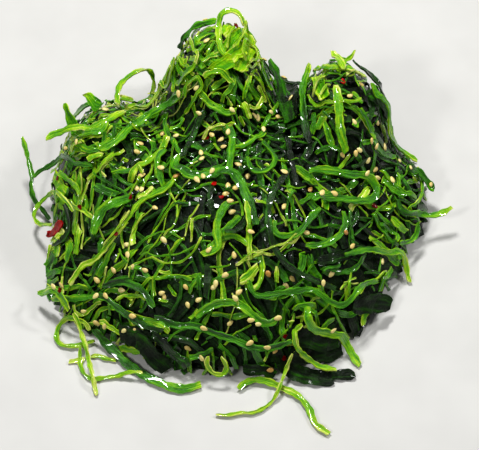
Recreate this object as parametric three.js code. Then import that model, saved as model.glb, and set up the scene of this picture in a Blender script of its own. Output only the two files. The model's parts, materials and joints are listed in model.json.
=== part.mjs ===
// A heap of dressed wakame: cut seaweed stems and leaves lying over one another, and a chilli chip.
// The strips on the outside are solids of their own. The tangle is the closed form of the strips under them.
// Millimetres, +Z up. The origin is on the flat base under the heap, and +Y points away from the viewer.
import * as THREE from "three";

// Thickness of what the heap is made of, and how the pieces look
const KINDS = {
  stem: { thickness: 1.3, colour: 0x5fa321, roughness: 0.3 },
  leaf: { thickness: 0.8, colour: 0x234d1b, roughness: 0.25 },
  chilli: { thickness: 1.2, colour: 0xb3201a, roughness: 0.35 },
};
const TANGLE_COLOUR = 0x1d3a1a;
const TANGLE_ROUGHNESS = 0.4;

// The heap is a broad mound with clumps on it, and a low foot behind them and at the left.
const LUMPS = {
  mound: { middle: [-4, -10], half_width: 76, half_depth: 71, height: 51 },
  back_clump: { middle: [-9, 40], half_width: 30, half_depth: 42, height: 69 },
  right_clump: { middle: [42, 27], half_width: 27, half_depth: 40, height: 60 },
  right_shoulder: { middle: [60, 6], half_width: 22, half_depth: 30, height: 28 },
  left_shoulder: { middle: [-54, 10], half_width: 28, half_depth: 46, height: 46 },
  left_foot: { middle: [-58, -25], half_width: 25, half_depth: 36, height: 22 },
  back_foot: { middle: [0, 32], half_width: 70, half_depth: 40, height: 31 },
};
const LUMP_FLANK = 0.75;
const LUMP_BLEND = 6;
const SLOPE_SPAN = 4;

// The closed form of the inner strips
const TANGLE_SECTORS = 88;
const TANGLE_RINGS = 18;
const TANGLE_RIM_HEIGHT = 3;
const TANGLE_REACH = 120;
const TANGLE_INSET = 1;

// How a strip lies on what is under it
const WIDTH_SHARES = [-0.5, -0.25, 0, 0.25, 0.5];
const STATION_SPACING = 3.5;
const FEWEST_STATIONS = 6;
const MOST_STATIONS = 30;
const STEPS_BETWEEN_STATIONS = 6;
const RESTING_GAP = 0.5;
const FLOOR_GAP = 0.15;
const STEEPEST_NORMAL = 0.4;
const SETTLING_ROUNDS = 30;
const TURNING_ROUNDS = 3;
const STRIP_SAG = 0.9;
const TIP_SHARE = 0.7;
const TIP_LENGTH_SHARE = 0.12;
const GROUND_CELL = 0.5;
const GROUND_HALF_SIZE = 140;

// The view in which the routes of the outer strips were chosen, in pixels of a picture of this size
const VIEW_WIDTH = 479;
const VIEW_HEIGHT = 450;
const VIEW_ELEVATION = THREE.MathUtils.degToRad(55);
const VIEW_DISTANCE = 900;
const VIEW_PIXELS_PER_MM = 2.34;
const VIEW_AIM = new THREE.Vector3(0, -3, 0);
const VIEW_RIGHT = new THREE.Vector3(1, 0, 0);
const VIEW_UPWARD = new THREE.Vector3(0, Math.sin(VIEW_ELEVATION), Math.cos(VIEW_ELEVATION));
const VIEW_FORWARD = new THREE.Vector3(0, Math.cos(VIEW_ELEVATION), -Math.sin(VIEW_ELEVATION));
const VIEW_EYE = VIEW_AIM.clone().addScaledVector(VIEW_FORWARD, -VIEW_DISTANCE);
const VIEW_STEP = 0.5;
const VIEW_NEAR = 700;
const VIEW_FAR = 1100;
const FLOOR_SEEN_TO = -45;

// How far the face of an outer strip is turned from its bed to the view, where 0 is not at all
const TURN_TO_VIEW = 0.6;

// The outer strips in the order in which they lie: the kind, the width in millimetres and the route of each.
// A point of a route is [pixel across, pixel down], with a lift in millimetres where the strip stands free.
const OUTER_STRIPS = {
  loose_loop_front_left: ["stem", 2, [
    [90, 334], [84, 326], [75, 324], [65, 326], [58, 331], [57, 338], [60, 346], [68, 348], [78, 348],
    [88, 345], [95, 343],
  ]],
  cup_by_the_middle: ["stem", 2.7, [
    [275, 222], [273, 230], [277, 236], [287, 238], [298, 235], [304, 228], [311, 219], [320, 210],
  ]],
  long_tail_front: ["stem", 2.8, [
    [238, 391], [245, 386], [255, 383], [265, 384], [275, 387], [284, 391], [295, 396], [304, 404],
    [310, 413], [315, 425], [322, 431], [329, 436],
  ]],
  top_right_leaf: ["leaf", 3.2, [[355, 50], [351, 57], [344, 64], [338, 72]]],
  thin_tail_front: ["stem", 1.5, [
    [216, 416], [228, 417], [240, 415], [252, 415], [262, 411], [271, 404], [277, 397], [281, 389],
    [285, 378], [289, 367], [292, 360],
  ]],
  right_arm: ["stem", 2.6, [
    [397, 203], [400, 213], [408, 219], [420, 219], [432, 216], [444, 212], [452, 207],
  ]],
  left_whisker: ["stem", 2, [
    [22, 137], [26, 150], [29, 163], [32, 176], [31, 187], [34, 199], [42, 209], [50, 221],
  ]],
  left_side_stem: ["stem", 2.4, [[62, 205], [67, 215], [69, 228], [68, 238], [60, 246], [55, 250]]],
  left_hook: ["stem", 1.8, [
    [74, 220], [67, 213, 1], [60, 208, 2], [51, 204], [42, 203], [36, 209], [34, 215], [37, 223],
    [44, 231], [53, 238],
  ]],
  right_drop: ["stem", 2.1, [[417, 230], [416, 240], [412, 247], [406, 250], [399, 249]]],
  front_left_long: ["stem", 2.7, [
    [53, 306], [65, 303], [80, 301], [95, 300], [105, 302], [115, 309], [127, 319], [142, 329],
    [163, 335],
  ]],
  dark_stem_in_the_middle: ["stem", 2.6, [
    [290, 170], [281, 181], [273, 193], [269, 207], [268, 222], [270, 238], [276, 253], [287, 267],
    [301, 277], [317, 285], [335, 293],
  ]],
  dark_leaf_front_right: ["leaf", 8, [[353, 310], [366, 310], [378, 309], [391, 305]]],
  dark_leaf_front_edge: ["leaf", 4.5, [[318, 378], [336, 377], [355, 376]]],
  tall_leaf_in_the_notch: ["leaf", 5.5, [[269, 62], [275, 78], [280, 95], [286, 112], [290, 126]]],
  dark_leaf_right_rim: ["leaf", 5, [[372, 94], [378, 105], [383, 116], [387, 128]]],
  arched_leaf_at_the_top: ["leaf", 4, [[180, 55], [184, 43], [190, 31], [198, 25], [207, 23], [216, 21]]],
  pale_leaf_at_the_top: ["leaf", 7, [[238, 74], [245, 62], [249, 48], [247, 36]]],
  leaf_upper_left_point: ["leaf", 5.5, [[65, 103], [68, 113], [73, 124], [79, 138]]],
  leaf_upper_left_peak: ["leaf", 5, [[86, 91], [92, 101], [100, 110]]],
  leaf_right_end: ["leaf", 4, [[408, 174], [418, 176], [426, 181], [434, 190]]],
  stem_along_the_front: ["stem", 2.8, [
    [155, 325], [175, 329], [195, 330], [205, 333], [220, 339], [235, 344], [248, 350], [262, 353],
    [278, 350], [292, 345],
  ]],
  olive_stem_right_shoulder: ["stem", 2.5, [
    [371, 95], [376, 108], [382, 118], [387, 130], [389, 142], [394, 150], [404, 156], [417, 161],
  ]],
  left_arch: ["stem", 2.2, [[34, 177], [40, 171], [48, 168], [58, 168], [75, 168], [92, 169]]],
  upper_left_long: ["stem", 3, [
    [46, 139], [54, 134], [64, 133], [80, 136], [92, 131], [102, 125], [112, 119], [125, 114],
  ]],
  upper_left_diagonal: ["stem", 3.3, [
    [100, 152], [112, 145], [122, 137], [132, 128], [143, 119, 6], [155, 111, 8], [168, 106, 4], [182, 101],
  ]],
  wide_stem_left: ["stem", 4, [[94, 238], [97, 224], [104, 211], [117, 205], [133, 200]]],
  long_diagonal_left: ["stem", 2.8, [
    [176, 178], [168, 188], [152, 197], [140, 204], [132, 215], [124, 228], [112, 244], [103, 255],
    [94, 264], [84, 268], [77, 277], [70, 287],
  ]],
  dark_curve_left: ["stem", 2.9, [
    [103, 293], [112, 287], [124, 285, 1], [137, 287, 2], [145, 296, 1], [154, 311],
  ]],
  leaf_lower_left: ["stem", 3.2, [[38, 293], [45, 298], [55, 303], [64, 311], [70, 320]]],
  right_bend: ["stem", 3.3, [
    [309, 173], [322, 172], [338, 175], [352, 179], [366, 181], [375, 188], [376, 197], [368, 203],
    [352, 203], [336, 200], [322, 200], [312, 205],
  ]],
  right_hook: ["stem", 2.7, [
    [343, 214], [345, 224], [343, 232], [337, 239], [328, 245], [317, 248], [306, 247],
  ]],
  middle_post: ["stem", 3, [[228, 126], [232, 138], [231, 150], [230, 162], [229, 172]]],
  middle_ring: ["stem", 2, [
    [262, 143], [269, 149, 1], [275, 158, 1], [272, 166, 1], [265, 171, 1], [257, 171, 1], [251, 168, 1],
    [248, 157, 1],
  ]],
  middle_arc: ["stem", 3.9, [
    [179, 157], [174, 166], [180, 173], [195, 177], [212, 175], [228, 174], [238, 180], [245, 194],
    [251, 210], [256, 226],
  ]],
  middle_drop: ["stem", 2.2, [[246, 206], [248, 218], [249, 230], [249, 245], [250, 262]]],
  middle_hook: ["stem", 3.1, [
    [230, 202], [222, 212], [217, 225], [217, 238], [219, 248], [212, 253], [202, 257],
  ]],
  front_wave: ["stem", 3.2, [
    [196, 321], [208, 311], [220, 305, 1], [230, 304, 1], [241, 309], [251, 317], [262, 325], [272, 326],
    [279, 320],
  ]],
  right_low_wave: ["stem", 2.5, [
    [249, 283], [252, 294], [258, 299], [270, 298], [283, 295], [300, 293], [312, 293], [322, 299],
    [333, 307], [345, 311], [352, 308], [359, 298], [365, 288], [377, 286],
  ]],
  right_low_band: ["stem", 2.6, [
    [345, 258], [360, 254], [375, 254], [388, 257], [399, 259], [404, 267], [407, 278], [409, 287],
  ]],
  right_pillar: ["stem", 3.3, [
    [310, 64], [306, 78], [303, 93], [303, 108], [304, 122], [306, 135], [310, 147],
  ]],
  right_post: ["stem", 3.6, [[336, 86], [338, 100], [339, 115], [340, 130], [342, 143], [346, 156]]],
  top_right_stub: ["stem", 3.2, [[333, 51], [335, 58], [338, 65], [343, 74]]],
  top_loop: ["stem", 2.7, [
    [228, 59], [222, 52, 1], [219, 40, 2], [219, 26, 3], [221, 15], [227, 11], [234, 11], [241, 17],
    [244, 26, 1],
  ]],
  left_standing_loop: ["stem", 2.4, [
    [119, 111], [117, 100], [119, 87], [127, 78], [138, 71], [148, 70], [153, 76], [154, 88], [152, 102],
  ]],
  front_right_bend: ["stem", 2.3, [
    [302, 329], [296, 336], [294, 346], [295, 356], [297, 364], [308, 369], [320, 373], [336, 375],
  ]],
  front_right_fan: ["stem", 3.5, [
    [308, 311], [307, 322], [308, 332], [313, 337], [325, 338], [335, 342], [345, 350], [354, 360],
    [360, 367],
  ]],
  front_ring: ["stem", 2, [
    [208, 363], [207, 372], [212, 381], [219, 384], [225, 379], [226, 370], [221, 362],
  ]],
  dark_stem_front_left: ["stem", 3.8, [
    [95, 335], [103, 345], [115, 355], [127, 366], [140, 375], [155, 383], [171, 389], [186, 391],
    [201, 387],
  ]],
  loose_hook_front_left: ["stem", 1.8, [
    [81, 350], [80, 362], [83, 373], [90, 380], [100, 380], [115, 378], [130, 377], [143, 378],
  ]],
  loose_post_front_left: ["stem", 1.9, [
    [75, 325], [79, 333], [83, 345], [87, 355], [90, 368], [93, 380], [95, 390], [97, 397],
  ]],
};
const CHILLI_CHIPS = {
  chilli_chip_left: ["chilli", 3.6, [[47, 234], [54, 238], [63, 229, 1]]],
};

// Strips on the side that the view doesn't reach: each climbs the back from its foot to its top and sways.
const BACK_STRIP_WIDTH = 2.8;
const BACK_STRIP_SWAY = 2.5;
const BACK_STRIP_SHARES = [0, 0.25, 0.5, 0.75, 1];
const BACK_STRIPS = {
  back_stem_far_left: { foot: [-75, 38], top: [-62, 44] },
  back_stem_left: { foot: [-58, 54], top: [-46, 48] },
  back_stem_under_the_clump: { foot: [-27, 72], top: [-10, 64] },
  back_stem_middle: { foot: [-10, 81], top: [7, 62] },
  back_stem_right_of_the_clump: { foot: [10, 69], top: [27, 60] },
  back_stem_right: { foot: [33, 64], top: [46, 52] },
  back_stem_far_right: { foot: [63, 49], top: [49, 54] },
};

// The height of the heap over a point of the floor, before an outer strip is laid on it.
function heapHeight(x, y) {
  let sum = 0;
  for (const { middle, half_width, half_depth, height } of Object.values(LUMPS)) {
    const inside = 1 - ((x - middle[0]) / half_width) ** 2 - ((y - middle[1]) / half_depth) ** 2;
    if (inside > 0) sum += (height * inside ** LUMP_FLANK) ** LUMP_BLEND;
  }
  return sum ** (1 / LUMP_BLEND);
}

// The direction out of the heap over a point of the floor, held back from lying flat.
function heapNormal(x, y) {
  const slopeX = (heapHeight(x + SLOPE_SPAN, y) - heapHeight(x - SLOPE_SPAN, y)) / (2 * SLOPE_SPAN);
  const slopeY = (heapHeight(x, y + SLOPE_SPAN) - heapHeight(x, y - SLOPE_SPAN)) / (2 * SLOPE_SPAN);
  const steepestSlope = Math.sqrt(1 / STEEPEST_NORMAL ** 2 - 1);
  const ease = Math.min(1, steepestSlope / Math.max(Math.hypot(slopeX, slopeY), Number.EPSILON));
  return new THREE.Vector3(-slopeX * ease, -slopeY * ease, 1).normalize();
}

// What has been laid so far, as the height of its top over each cell of the floor
const groundCells = Math.round((2 * GROUND_HALF_SIZE) / GROUND_CELL);
const ground = new Float32Array(groundCells * groundCells);

function cellOf(distance) {
  return THREE.MathUtils.clamp(Math.floor((distance + GROUND_HALF_SIZE) / GROUND_CELL), 1, groundCells - 2);
}

// Lays the tangle on the bare floor, triangle by triangle.
function coverWithTangle(geometry) {
  ground.fill(FLOOR_GAP - RESTING_GAP);
  const corners = geometry.toNonIndexed().getAttribute("position");
  const [first, second, third] = [new THREE.Vector3(), new THREE.Vector3(), new THREE.Vector3()];
  for (let corner = 0; corner < corners.count; corner += 3) {
    first.fromBufferAttribute(corners, corner);
    second.fromBufferAttribute(corners, corner + 1).sub(first);
    third.fromBufferAttribute(corners, corner + 2).sub(first);
    const steps = Math.ceil((2 * Math.max(second.length(), third.length())) / GROUND_CELL);
    for (let along = 0; along <= steps; along++) {
      for (let across = 0; across <= steps - along; across++) {
        const point = first.clone().addScaledVector(second, along / steps);
        point.addScaledVector(third, across / steps);
        raiseGround(point.x, point.y, point.z);
      }
    }
  }
}

// The highest top near a point of the floor.
function groundNear(x, y) {
  const column = cellOf(x);
  const row = cellOf(y);
  let top = -Infinity;
  for (let down = -1; down <= 1; down++) {
    for (let across = -1; across <= 1; across++) {
      top = Math.max(top, ground[(row + down) * groundCells + column + across]);
    }
  }
  return top;
}

function raiseGround(x, y, top) {
  const cell = cellOf(y) * groundCells + cellOf(x);
  ground[cell] = Math.max(ground[cell], top);
}

// The ray from the eye through a pixel of the view.
function rayThroughPixel([across, down]) {
  const focalPixels = VIEW_PIXELS_PER_MM * VIEW_DISTANCE;
  return VIEW_FORWARD.clone()
    .addScaledVector(VIEW_UPWARD, (VIEW_HEIGHT / 2 - down) / focalPixels)
    .addScaledVector(VIEW_RIGHT, (across - VIEW_WIDTH / 2) / focalPixels);
}

// How far along a ray the heap is, or the floor in front of it. It is null where the ray passes them by.
function depthOfHeap(ray, lift) {
  const point = VIEW_EYE.clone();
  for (let depth = VIEW_NEAR; depth < VIEW_FAR; depth += VIEW_STEP) {
    point.copy(VIEW_EYE).addScaledVector(ray, depth);
    const height = heapHeight(point.x, point.y);
    if (height > 0 && point.z <= height + lift) return depth;
    if (point.z <= lift) return point.y < FLOOR_SEEN_TO ? depth : null;
  }
  return null;
}

// The points of a route. A point that stands clear of the heap is as deep in the view as those beside it.
function pointsOfRoute(route) {
  const depths = route.map((point) => depthOfHeap(rayThroughPixel(point), point[2] ?? 0));
  return route.map((point, index) => {
    const before = depths.findLastIndex((depth, other) => depth !== null && other <= index);
    const after = depths.findIndex((depth, other) => depth !== null && other >= index);
    const start = before < 0 ? after : before;
    const end = after < 0 ? before : after;
    const share = (index - start) / Math.max(end - start, 1);
    const depth = THREE.MathUtils.lerp(depths[start], depths[end], start === end ? 0 : share);
    return VIEW_EYE.clone().addScaledVector(rayThroughPixel(point), depth);
  });
}

// The frame of a strip at each of its stations: across it and out of it. It lies on its bed, with its face
// turned to the view, but it is too stiff to turn over between two stations, so it turns with its neighbours.
function framesAlong(stations) {
  const last = stations.length - 1;
  const alongs = stations.map((station, index) => {
    const before = stations[Math.max(index - 1, 0)];
    return stations[Math.min(index + 1, last)].clone().sub(before).normalize();
  });
  let acrosses = stations.map(({ x, y }, index) => {
    const face = heapNormal(x, y).addScaledVector(VIEW_FORWARD, -TURN_TO_VIEW);
    return face.cross(alongs[index]).normalize();
  });
  for (let round = 0; round < TURNING_ROUNDS; round++) {
    acrosses = acrosses.map((across, index) => {
      const turned = across.clone().add(acrosses[Math.max(index - 1, 0)]);
      turned.add(acrosses[Math.min(index + 1, last)]);
      return turned.addScaledVector(alongs[index], -turned.dot(alongs[index])).normalize();
    });
  }
  return alongs.map((along, index) => {
    const across = acrosses[index];
    return { across, out: along.clone().cross(across) };
  });
}

// The sections of a strip, at its stations and in straight steps between them.
function sectionsAlong(stations) {
  const frames = framesAlong(stations);
  const spans = stations.length - 1;
  return Array.from({ length: spans * STEPS_BETWEEN_STATIONS + 1 }, (_, step) => {
    const before = Math.min(Math.floor(step / STEPS_BETWEEN_STATIONS), spans - 1);
    const share = step / STEPS_BETWEEN_STATIONS - before;
    const [start, end] = [frames[before], frames[before + 1]];
    return {
      before,
      share,
      middle: stations[before].clone().lerp(stations[before + 1], share),
      across: start.across.clone().lerp(end.across, share),
      out: start.out.clone().lerp(end.out, share),
    };
  });
}

// How high a strip's middle line has to be at a section, so that it clears what lies under its whole width.
function clearHeight({ middle, across, out }, width, thickness) {
  let height = -Infinity;
  for (const share of WIDTH_SHARES) {
    const offset = across.clone().multiplyScalar(share * width);
    height = Math.max(height, groundNear(middle.x + offset.x, middle.y + offset.y) - offset.z);
  }
  return height + (thickness / 2 + RESTING_GAP) / Math.max(out.z, STEEPEST_NORMAL);
}

// Lifts the stations of a strip until no part of it is in what lies under it.
function settle(stations, width, thickness) {
  for (let round = 0; round < SETTLING_ROUNDS; round++) {
    const lifts = new Float32Array(stations.length);
    for (const section of sectionsAlong(stations)) {
      const { before, share } = section;
      const lack = clearHeight(section, width, thickness) - section.middle.z;
      const both = (1 - share) ** 2 + share ** 2;
      lifts[before] = Math.max(lifts[before], (lack * (1 - share)) / both);
      lifts[before + 1] = Math.max(lifts[before + 1], (lack * share) / both);
    }
    stations.forEach((station, index) => {
      station.z += lifts[index];
    });
    if (Math.max(...lifts) === 0) break;
  }
}

// Lets a strip span the dips under it, as far as its stiffness does.
function bridge(stations) {
  for (let round = 0; round < SETTLING_ROUNDS; round++) {
    for (let index = 1; index + 1 < stations.length; index++) {
      const span = (stations[index - 1].z + stations[index + 1].z) / 2;
      stations[index].z = Math.max(stations[index].z, span - STRIP_SAG);
    }
  }
}

// Adds a settled strip to what later strips lie on.
function coverWithStrip(stations, width, thickness) {
  const halfSteps = Math.ceil(width / GROUND_CELL);
  for (const { middle, across, out } of sectionsAlong(stations)) {
    const top = middle.z + thickness / 2 / Math.max(out.z, STEEPEST_NORMAL);
    for (let step = -halfSteps; step <= halfSteps; step++) {
      const offset = (step / halfSteps) * (width / 2);
      raiseGround(middle.x + across.x * offset, middle.y + across.y * offset, top + across.z * offset);
    }
  }
}

// The solid of a strip: a box with a cross section at each station, narrower towards its two tips.
function stripGeometry(stations, width, thickness) {
  const spans = stations.length - 1;
  const frames = framesAlong(stations);
  const geometry = new THREE.BoxGeometry(width, thickness, spans, 1, 1, spans);
  const position = geometry.getAttribute("position");
  for (let index = 0; index < position.count; index++) {
    const station = Math.round(position.getZ(index) + spans / 2);
    const fromTip = Math.min(station, spans - station) / spans;
    const fullness = Math.min(1, TIP_SHARE + ((1 - TIP_SHARE) * fromTip) / TIP_LENGTH_SHARE);
    const { across, out } = frames[station];
    const corner = stations[station].clone();
    corner.addScaledVector(across, position.getX(index) * fullness);
    corner.addScaledVector(out, position.getY(index));
    position.setXYZ(index, corner.x, corner.y, corner.z);
  }
  geometry.computeVertexNormals();
  return geometry;
}

function named(name, geometry, colour, roughness) {
  const mesh = new THREE.Mesh(geometry, new THREE.MeshStandardMaterial({ color: colour, roughness }));
  mesh.name = name;
  return mesh;
}

// Lays one strip through its points, on top of everything laid before it.
function layStrip(name, kind, width, points) {
  const { thickness, colour, roughness } = KINDS[kind];
  const curve = new THREE.CatmullRomCurve3(points, false, "centripetal");
  const wanted = Math.round(curve.getLength() / STATION_SPACING);
  const stations = curve.getSpacedPoints(THREE.MathUtils.clamp(wanted, FEWEST_STATIONS, MOST_STATIONS));
  settle(stations, width, thickness);
  bridge(stations);
  settle(stations, width, thickness);
  coverWithStrip(stations, width, thickness);
  return named(name, stripGeometry(stations, width, thickness), colour, roughness);
}

// The points of a back strip, which sways to one side and the other of the line from its foot to its top.
function backRoute({ foot, top }) {
  const across = new THREE.Vector2(foot[1] - top[1], top[0] - foot[0]).normalize();
  return BACK_STRIP_SHARES.map((share) => {
    const sway = BACK_STRIP_SWAY * Math.sin(2 * Math.PI * share);
    const x = THREE.MathUtils.lerp(foot[0], top[0], share) + sway * across.x;
    const y = THREE.MathUtils.lerp(foot[1], top[1], share) + sway * across.y;
    return new THREE.Vector3(x, y, heapHeight(x, y));
  });
}

// How far the heap reaches from its origin in one direction.
function reachOfHeap(angle) {
  let reach = TANGLE_REACH;
  while (heapHeight(reach * Math.cos(angle), reach * Math.sin(angle)) < TANGLE_RIM_HEIGHT) reach -= VIEW_STEP;
  return reach;
}

// The tangle is a round dome of one unit, drawn out to the heap's own outline and height.
function tangleGeometry() {
  const profile = [new THREE.Vector2(0, 0)];
  for (let ring = 0; ring <= TANGLE_RINGS; ring++) {
    profile.push(new THREE.Vector2(Math.cos((ring / TANGLE_RINGS) * (Math.PI / 2)), 1));
  }
  profile.splice(1, 0, new THREE.Vector2(1, 0));
  const geometry = new THREE.LatheGeometry(profile, TANGLE_SECTORS).rotateX(Math.PI / 2);
  const position = geometry.getAttribute("position");
  for (let index = 0; index < position.count; index++) {
    const angle = Math.atan2(position.getY(index), position.getX(index));
    const share = Math.hypot(position.getX(index), position.getY(index));
    const reach = share * (reachOfHeap(angle) - TANGLE_INSET);
    const x = reach * Math.cos(angle);
    const y = reach * Math.sin(angle);
    const onTop = Math.round(position.getZ(index)) === 1;
    position.setXYZ(index, x, y, onTop ? heapHeight(x, y) - TANGLE_INSET : 0);
  }
  geometry.computeVertexNormals();
  return geometry;
}

function makeHeap() {
  const heap = new THREE.Group();
  const tangle = tangleGeometry();
  heap.add(named("tangle", tangle, TANGLE_COLOUR, TANGLE_ROUGHNESS));
  coverWithTangle(tangle);
  for (const [name, route] of Object.entries(BACK_STRIPS)) {
    heap.add(layStrip(name, "stem", BACK_STRIP_WIDTH, backRoute(route)));
  }
  for (const [name, [kind, width, route]] of Object.entries({ ...CHILLI_CHIPS, ...OUTER_STRIPS })) {
    heap.add(layStrip(name, kind, width, pointsOfRoute(route)));
  }
  return heap;
}

export default makeHeap();
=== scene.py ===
import json
import math

import bpy
import numpy as np
from mathutils import Matrix, Vector
from mathutils.bvhtree import BVHTree


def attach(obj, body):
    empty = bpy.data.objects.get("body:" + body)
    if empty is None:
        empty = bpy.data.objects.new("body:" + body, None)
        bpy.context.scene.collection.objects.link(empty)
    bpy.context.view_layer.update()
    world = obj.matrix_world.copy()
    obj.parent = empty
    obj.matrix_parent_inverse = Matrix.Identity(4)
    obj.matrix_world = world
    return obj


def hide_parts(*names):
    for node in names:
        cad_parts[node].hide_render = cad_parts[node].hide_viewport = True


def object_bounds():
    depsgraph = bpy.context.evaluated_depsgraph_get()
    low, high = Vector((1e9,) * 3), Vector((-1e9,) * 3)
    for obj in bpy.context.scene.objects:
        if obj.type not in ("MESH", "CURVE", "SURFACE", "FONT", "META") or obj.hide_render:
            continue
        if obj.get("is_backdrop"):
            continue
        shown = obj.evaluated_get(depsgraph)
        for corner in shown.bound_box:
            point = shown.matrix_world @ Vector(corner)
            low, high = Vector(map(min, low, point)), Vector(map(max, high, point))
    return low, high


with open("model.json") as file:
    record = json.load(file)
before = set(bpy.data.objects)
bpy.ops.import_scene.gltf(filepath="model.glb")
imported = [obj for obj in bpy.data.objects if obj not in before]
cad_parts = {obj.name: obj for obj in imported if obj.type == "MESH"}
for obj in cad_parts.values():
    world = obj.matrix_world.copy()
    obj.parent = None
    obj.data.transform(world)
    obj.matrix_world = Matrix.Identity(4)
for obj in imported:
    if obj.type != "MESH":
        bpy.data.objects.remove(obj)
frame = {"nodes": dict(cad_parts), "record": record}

CAD_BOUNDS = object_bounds()
MM = 0.001
SEED = 41

# The view, with pixels counted from the picture's upper left corner
PHOTO_WIDTH = 479
PHOTO_HEIGHT = 450
VIEW_ELEVATION = math.radians(55)
VIEW_DISTANCE = 900
PIXELS_PER_MM = 2.34
VIEW_AIM = np.array([0, -3, 0])
VIEW_RIGHT = np.array([1, 0, 0])
VIEW_UPWARD = np.array([0, math.sin(VIEW_ELEVATION), math.cos(VIEW_ELEVATION)])
VIEW_FORWARD = np.array([0, math.cos(VIEW_ELEVATION), -math.sin(VIEW_ELEVATION)])
VIEW_EYE = VIEW_AIM - VIEW_DISTANCE * VIEW_FORWARD
SENSOR_WIDTH = 36

# Thicknesses of the solid strips
STEM_THICKNESS = 1.3
LEAF_THICKNESS = 0.8
CHILLI_THICKNESS = 1.2

# The grid of heights that the strips are laid on, where the heap ends on it, and how its slopes are smoothed
# and held back
GROUND_CELL = 0.5
GROUND_REACH = 120
GROUND_CELLS = int(2 * GROUND_REACH / GROUND_CELL)
RIM_HEIGHT = 2.5
SLOPE_BLUR = 5
FLATTEST_NORMAL = 0.4
SMALLEST_LENGTH = 1e-9

# Steps of a curve from one of its given places to the next, and the fewest stations of a strip
CURVE_STEPS = 12
FEWEST_STATIONS = 4

# How alike corners and edges of a solid have to be, as decimals and as a length in millimetres
CORNER_DECIMALS = 3
EDGE_TOLERANCE = 0.005

# How far a stem's face turns from the bed that it lies on to the view, as on the solid strips
TURN_TO_VIEW = 0.6

# A strip's sections, each corner as a share of the half width and of the half thickness. The edges of a cut
# stem stand proud of a shallow groove.
SECTIONS = {
    "grooved": [
        (1, 0.35), (0.86, 0.9), (0.35, 0.7), (-0.35, 0.7), (-0.86, 0.9),
        (-1, 0.35), (-1, -0.35), (-0.8, -0.9), (0.8, -0.9), (1, -0.35),
    ],
    "hollowed": [(1, 0.3), (0.8, 0.9), (0, 0.65), (-0.8, 0.9), (-1, 0.3), (-1, -0.5), (0, -0.9), (1, -0.5)],
    "plain": [(1, 0), (0.75, 0.9), (-0.75, 0.9), (-1, 0), (-0.75, -0.9), (0.75, -0.9)],
}
CRISP_EDGE = math.radians(50)

# How a strip is shaped: ends cut askew, a cupped face, a slow twist and a wandering width
STRIP_THINNING = 0.82
END_FULLNESS = 0.85
END_ROUND = 0.7
CUT_SKEW = 0.55
CUT_REACH = 4
CUP_SHARE = 0.13
CUP_MIDDLE = 0.4
WIDTH_WANDER = 0.16
WIDEST_WANDER = 0.16
WIDTH_WAVE = 11
SHORT_WIDTH_WAVE = 4.3
TWIST_WAVE = 23
TWISTS = {"stem": 0.25, "leaf": 0.12, "chilli": 0.25}
END_TAPER = 0.65
RIPPLES = {"stem": 0, "leaf": 0.5, "chilli": 0}
RIPPLE_WAVE = 7
OUTER_SPACING = 1.0
FLOOR_GAP = 0.05
PALE_END = 0.14
PALE_END_REACH = 3
LONGEST_RUN = 900

# How the inner strips lie: in wandering paths, from a hollow under the tangle's surface up to that surface
HOLLOW_DEPTH = 5.5
RESTING_GAP = 0.1
STRIP_SAG = 0.12
SETTLING_ROUNDS = 30
PROUD_ALLOWED = 0.3
PROUD_SHARE = 0.12
LEAST_LACK = 0.02
BEND_KEPT = 0.96
TIGHTEST_BEND = 0.08
TRIES_AT_ONCE = 60
TIP_REACH = 11
TIP_CHANCE = 0.4
WIDTH_SHARES = np.linspace(-0.5, 0.5, 5)

# Bright strips crowd past a distance from the middle and above a height. The dark front lies on this side of
# a y and to the right of an x. The middle loses some of its tone.
CROWDED_PAST = 52
CROWDED_ABOVE = 50
DARK_FRONT_Y = -22
DARK_FRONT_X = -40
MIDDLE_DIMNESS = 0.28

# Patches that are brighter or darker than the rest: middle and reach in millimetres, and what the tone gains
TONE_PATCHES = {
    "bright_back_clump": ((-9, 40), 36, 0.14),
    "dark_right_clump": ((44, 22), 30, -0.1),
    "dark_right_side": ((66, -20), 30, -0.08),
}
TONE_SPREAD = 0.1

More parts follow.
